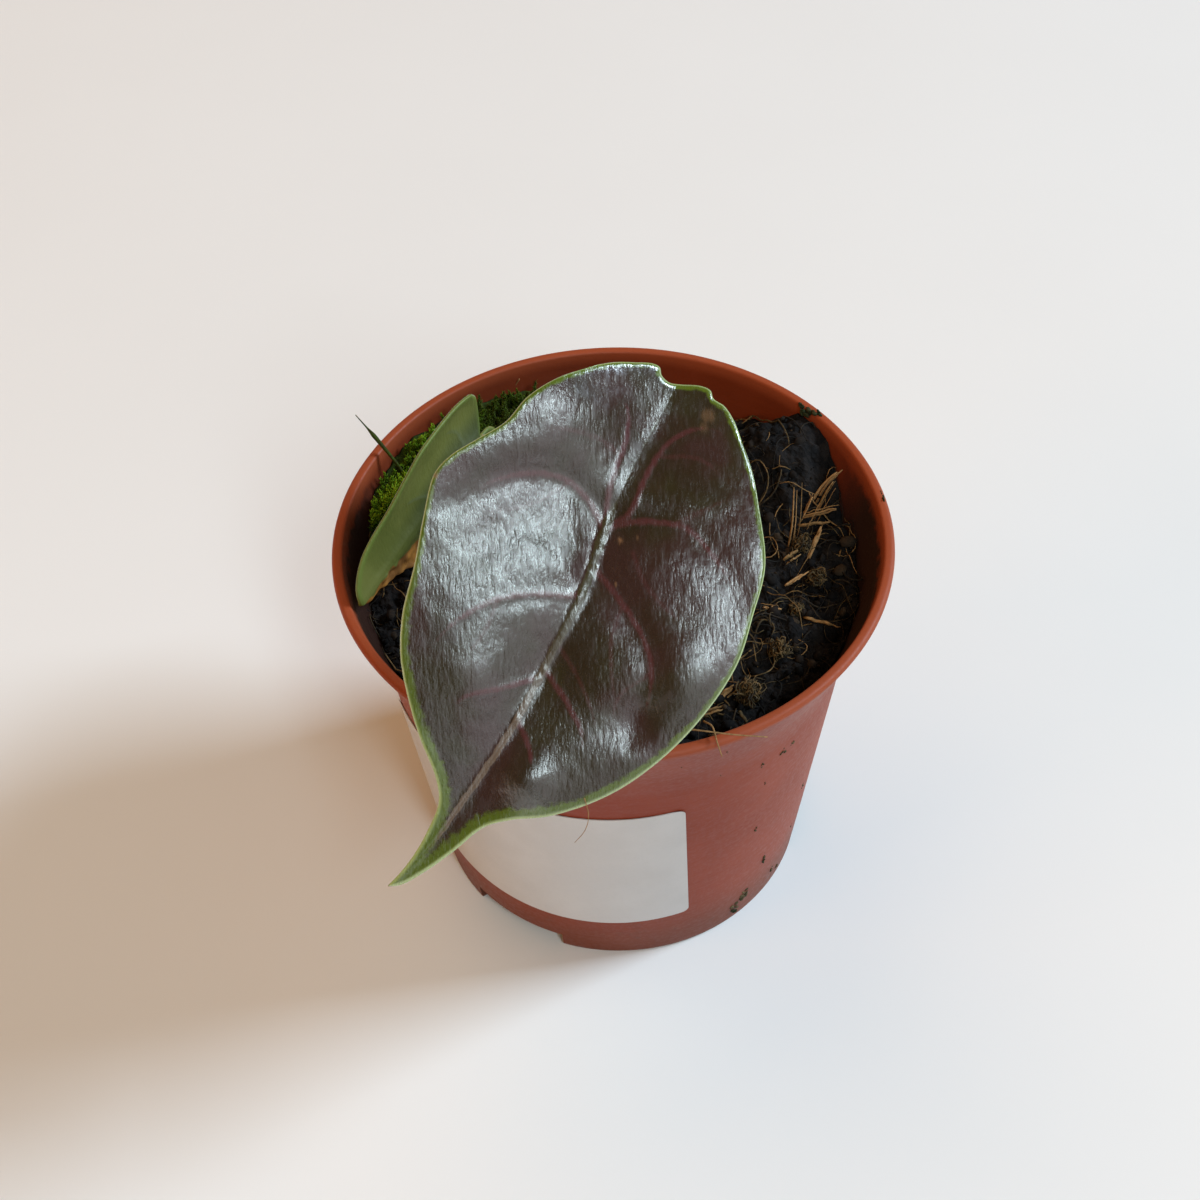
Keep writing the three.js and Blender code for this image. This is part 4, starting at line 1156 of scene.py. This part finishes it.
def build_blade(name, leaf, material, replaced):
    flat, over = blade_plan(leaf)
    along, across = flat[..., 0], flat[..., 1]
    reach = np.abs(over)
    length = leaf["right"][-1][0]
    outline = np.concatenate([flat[::-1, 0], flat[0], flat[:, -1]])
    margin, _ = nearest(flat, outline)
    from_rib, down = nearest(flat, curve_through(leaf["midrib"], 500))
    from_vein = vein_distance(flat, leaf["veins"], (0.3, 0.2))
    from_side_vein = vein_distance(flat, leaf["side_veins"], (0.22, 0.16))
    sunk, raised = vein_relief(flat, leaf["veins"], leaf["folds"])
    dry_width = np.interp(along, *np.array(leaf["dry"]).T)
    dry = np.where(over < 0, dry_width - margin, -margin - 1)

    # The folds and the fall of the edge fade where the blade narrows to its tip.
    body = 1 - smoothstep(0.5, 0.82, along / length)
    wings = wing_height(leaf, along, across, over, from_rib)
    sunk = sunk * smoothstep(0.3, 3.2, np.hypot(along, across))
    droop = np.where(along > 0, leaf["droop"]["tip"], leaf["droop"]["lobes"]) * along**2
    cup = CUP["depth"] * np.exp(-(along**2 + across**2) / CUP["spread"])
    rib = BLADE["rib_height"] * np.exp(-((from_rib / BLADE["rib_width"]) ** 2)) * (1 - 0.75 * down)
    quilting = leaf["quilting"] * (2 * grain(along, across, 4.2, 8.3) + 0.5 * grain(along, across, 1.4, 2.9))
    quilting = quilting * smoothstep(0, 1.5, margin) * smoothstep(0, 1.2, from_rib)
    crinkle = 0.35 * grain(along, across, 1.1, 6.1) * smoothstep(-0.3, 0.5, dry)
    rib = rib * (0.2 + 0.8 * smoothstep(-3, 0.5, along)) * (along > -14)
    surface = wings - (leaf["fall"] * reach**3 + sunk) * body - droop - cup + rib
    surface = surface + 0.1 * raised * body + quilting + crinkle

    # The edge is round, and the midrib and main veins stand out of the underside.
    thickness = BLADE["thickness"]
    inward = np.clip(margin / BLADE["edge"], 0, 1)
    rounding = thickness / 2 * (1 - np.sqrt(1 - (1 - inward) ** 2))
    keel = leaf["keel"] * np.exp(-((from_rib / BLADE["keel_width"]) ** 2)) * (1 - 0.7 * down)
    keel = np.where(along > -1, keel, 0.4 * keel) + 0.2 * raised
    upper = np.dstack([flat, surface - rounding])
    lower = np.dstack([flat, surface - thickness + rounding - keel * inward])

    turn = Matrix.Rotation(math.radians(leaf["heading"]), 3, "Z")
    points = sheet_values(upper, lower) @ np.array(turn).T
    placed = points @ np.array(leaf_lean(leaf)).T + leaf["junction"]
    made = piece(name, placed, sheet_faces(*over.shape), material, replaced)

    def twice(values):
        return sheet_values(values, values)

    set_values(
        made,
        plane=points,
        side=sheet_values(np.ones_like(over), np.zeros_like(over)),
        margin=twice(margin / np.interp(along, *np.array(leaf["band"]).T)),
        vein=twice(from_vein),
        side_vein=twice(from_side_vein),
        rib=twice(from_rib / (BLADE["rib_width"] * (1 - 0.55 * down)) + smoothstep(-0.5, -4, along)),
        down=twice(down),
        tip=twice(smoothstep(*leaf["green_tip"], along)),
        spot=twice(spot_strength(leaf, along, across)),
        dry=twice(dry),
    )


def build_stem(name, leaf, stem, material, replaced):
    facing = np.array(leaf_lean(leaf) @ Vector((0, 0, 1)))
    straight = 3
    path = curve_through([
        [stem["x"], stem["y"], CORM["top"] - 0.2],
        [stem["x"], stem["y"], CORM["top"] + straight],
        stem["bend"],
        leaf["junction"] - facing * (stem["depth"] + straight + 1),
        leaf["junction"] - facing * stem["depth"],
    ], 70)
    share = np.linspace(0, 1, len(path))
    radius = stem["top"] + (stem["base"] - stem["top"]) * (1 - share) ** 3 + 0.35 * smoothstep(0.95, 1, share)
    points, faces = bar(path, radius, 28)
    piece(name, points, faces, material, replaced)


def build_sheaths():
    """Papery scales of old leaves round the feet of the stems."""
    scales = Pile()
    rows, columns = 16, 12
    up = np.linspace(0, 1, rows)[:, None]
    aside = np.linspace(-1, 1, columns)[None]
    for angle, radius, height, half_arc in SHEATHS:
        narrowing = np.sqrt(1 - np.minimum(up, 0.985) ** 2.5)
        turns = angle + half_arc * narrowing * aside + 6 * up
        ring = radius * (1 + 0.22 * up - 0.25 * up**2)
        stretch = [[1.25, 1, 1]]
        foot = np.array([CORM["x"], CORM["y"], CORM["top"] - 0.5])
        outer = polar(ring + 0.1, turns, height * up) * stretch + foot
        inner = polar(ring - 0.1, turns, height * up) * stretch + foot
        scales.add((sheet_values(outer, inner), sheet_faces(rows, columns)), 0.5)
    scales.build("stem_sheaths", tinted_material(
        "dry_sheath", [(0.10, 0.05, 0.025), (0.28, 0.16, 0.08), (0.42, 0.28, 0.15)],
        0.5, 0.06, Roughness=0.7, Specular_IOR_Level=0.3,
    ))


def pressed(shape, centre, share):
    """The shape, flattened against the wall or lip that it sticks to."""
    points, faces = shape
    outward = unit(np.array([centre[0], centre[1], 0.0]))
    depth = (points - centre) @ outward
    return points - np.outer(depth * (1 - share), outward), faces


def build_specks():
    """Crumbs of mix stuck to the outside of the wall, and lumps of mix and moss on the lip."""
    rng = random.Random(5)
    specks = Pile()
    for angle, z, size in WALL_CRUMBS:
        centre = polar(radius_of_wall(z) + 0.1 * size, angle, z)
        for _ in range(5):
            near = centre + np.array([rng.gauss(0, 0.35), rng.gauss(0, 0.35), rng.gauss(0, 0.75)]) * size
            near[:2] *= math.hypot(centre[0], centre[1]) / math.hypot(near[0], near[1])
            specks.add(pressed(lump(rng, near, rng.uniform(0.3, 0.6) * size), near, 0.45), rng.uniform(0, 1))
    middle = POT["outside"][-1][0] - POT["lip"] / 2
    for angle, out, z, size in LIP_LUMPS:
        for _ in range(4):
            near = polar(middle + out, angle + rng.gauss(0, 0.6), z + rng.gauss(0, 0.12))
            specks.add(pressed(lump(rng, near, rng.uniform(0.5, 0.8) * size), near, 0.7), rng.uniform(0, 0.3))
    colours = [(0.012, 0.022, 0.006), (0.04, 0.038, 0.014), (0.075, 0.052, 0.024), (0.14, 0.10, 0.05)]
    finish = tinted_material("crumb", colours, 0.3, 0.05, Roughness=0.9, Specular_IOR_Level=0.25)
    specks.build("stuck_crumbs", finish)


# Scene

def finish_corm():
    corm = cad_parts["corm_and_roots"]
    corm.data.materials.clear()
    corm.data.materials.append(corm_material())


def add_light(name, azimuth, elevation, distance, size, power, colour, mirrored=True):
    """A soft oblong light, aimed at the plant. Its distance and size are in metres.

    One that isn't mirrored lights the plant, and stays out of its glossy reflections.
    """
    data = bpy.data.lights.new(name, "AREA")
    data.shape = "RECTANGLE"
    data.size, data.size_y = size
    data.energy = power
    data.color = colour
    light = bpy.data.objects.new(name, data)
    turn, rise = math.radians(azimuth), math.radians(elevation)
    away = Vector((math.cos(turn) * math.cos(rise), math.sin(turn) * math.cos(rise), math.sin(rise)))
    light.location = away * distance + Vector((0, 0, 0.05))
    light.rotation_euler = away.to_track_quat("Z", "Y").to_euler()
    light.visible_glossy = mirrored
    bpy.context.scene.collection.objects.link(light)


def build_floor():
    half = FLOOR_HALF
    corners = [(-half, -half, 0), (half, -half, 0), (half, half, 0), (-half, half, 0)]
    floor = bare_object("floor", corners, [(0, 1, 2, 3)])
    floor.data.materials.append(floor_material())


def build_lights():
    """Dim warm surroundings and five soft lights."""
    world = bpy.data.worlds.new("studio")
    world.use_nodes = True
    background = world.node_tree.nodes["Background"]
    background.inputs["Color"].default_value = (1.0, 0.72, 0.45, 1)
    background.inputs["Strength"].default_value = 0.1
    bpy.context.scene.world = world
    add_light("window", 12, 37, 2.0, (0.6, 0.5), 41.5, (0.70, 0.86, 1.0))
    add_light("front", -72, 29, 1.0, (0.92, 0.94), 1.85, (0.90, 0.94, 0.98))
    add_light("sheen", -68, 44.5, 1.0, (0.13, 0.36), 2.9, (0.78, 0.95, 1.0))
    add_light("ceiling", 130, 60, 1.0, (0.9, 0.9), 3.3, (1.0, 0.62, 0.33), mirrored=False)
    add_light("glow", 200, 18, 1.0, (0.5, 0.5), 2.6, (1.0, 0.48, 0.1), mirrored=False)


def build_camera():
    data = bpy.data.cameras.new("camera")
    data.lens = CAMERA["lens"]
    data.sensor_width = data.sensor_height = CAMERA["sensor"]
    data.clip_start = 0.01
    camera = bpy.data.objects.new("camera", data)
    camera.location = Vector(CAMERA["place"]) * MM
    camera.rotation_euler = [math.radians(angle) for angle in CAMERA["turn"]]
    bpy.context.scene.collection.objects.link(camera)
    bpy.context.scene.camera = camera
    bpy.context.scene.view_settings.view_transform = "Standard"


def build_plant():
    build_pot()
    build_label()
    build_soil()
    rng = random.Random(11)
    build_crumbs(rng)
    build_fibres(rng)
    build_moss_cushion()
    build_moss_shoots()
    green = stem_material()
    build_stem("big_stem", BIG_LEAF, BIG_STEM, green, ["leaf_1_petiole"])
    build_stem("small_stem", SMALL_LEAF, SMALL_STEM, green, ["leaf_2_petiole"])
    build_sheaths()
    dark = leaf_material("dark_leaf", BIG_LEAF_COLOURS, Specular_IOR_Level=1.0, IOR=1.7)
    grey_green = leaf_material("grey_green_leaf", SMALL_LEAF_COLOURS, Specular_IOR_Level=0.5)
    build_blade("big_blade", BIG_LEAF, dark, ["leaf_1_blade"])
    build_blade("small_blade", SMALL_LEAF, grey_green, ["leaf_2_blade"])
    build_specks()
    finish_corm()


build_plant()
build_floor()
build_lights()
build_camera()
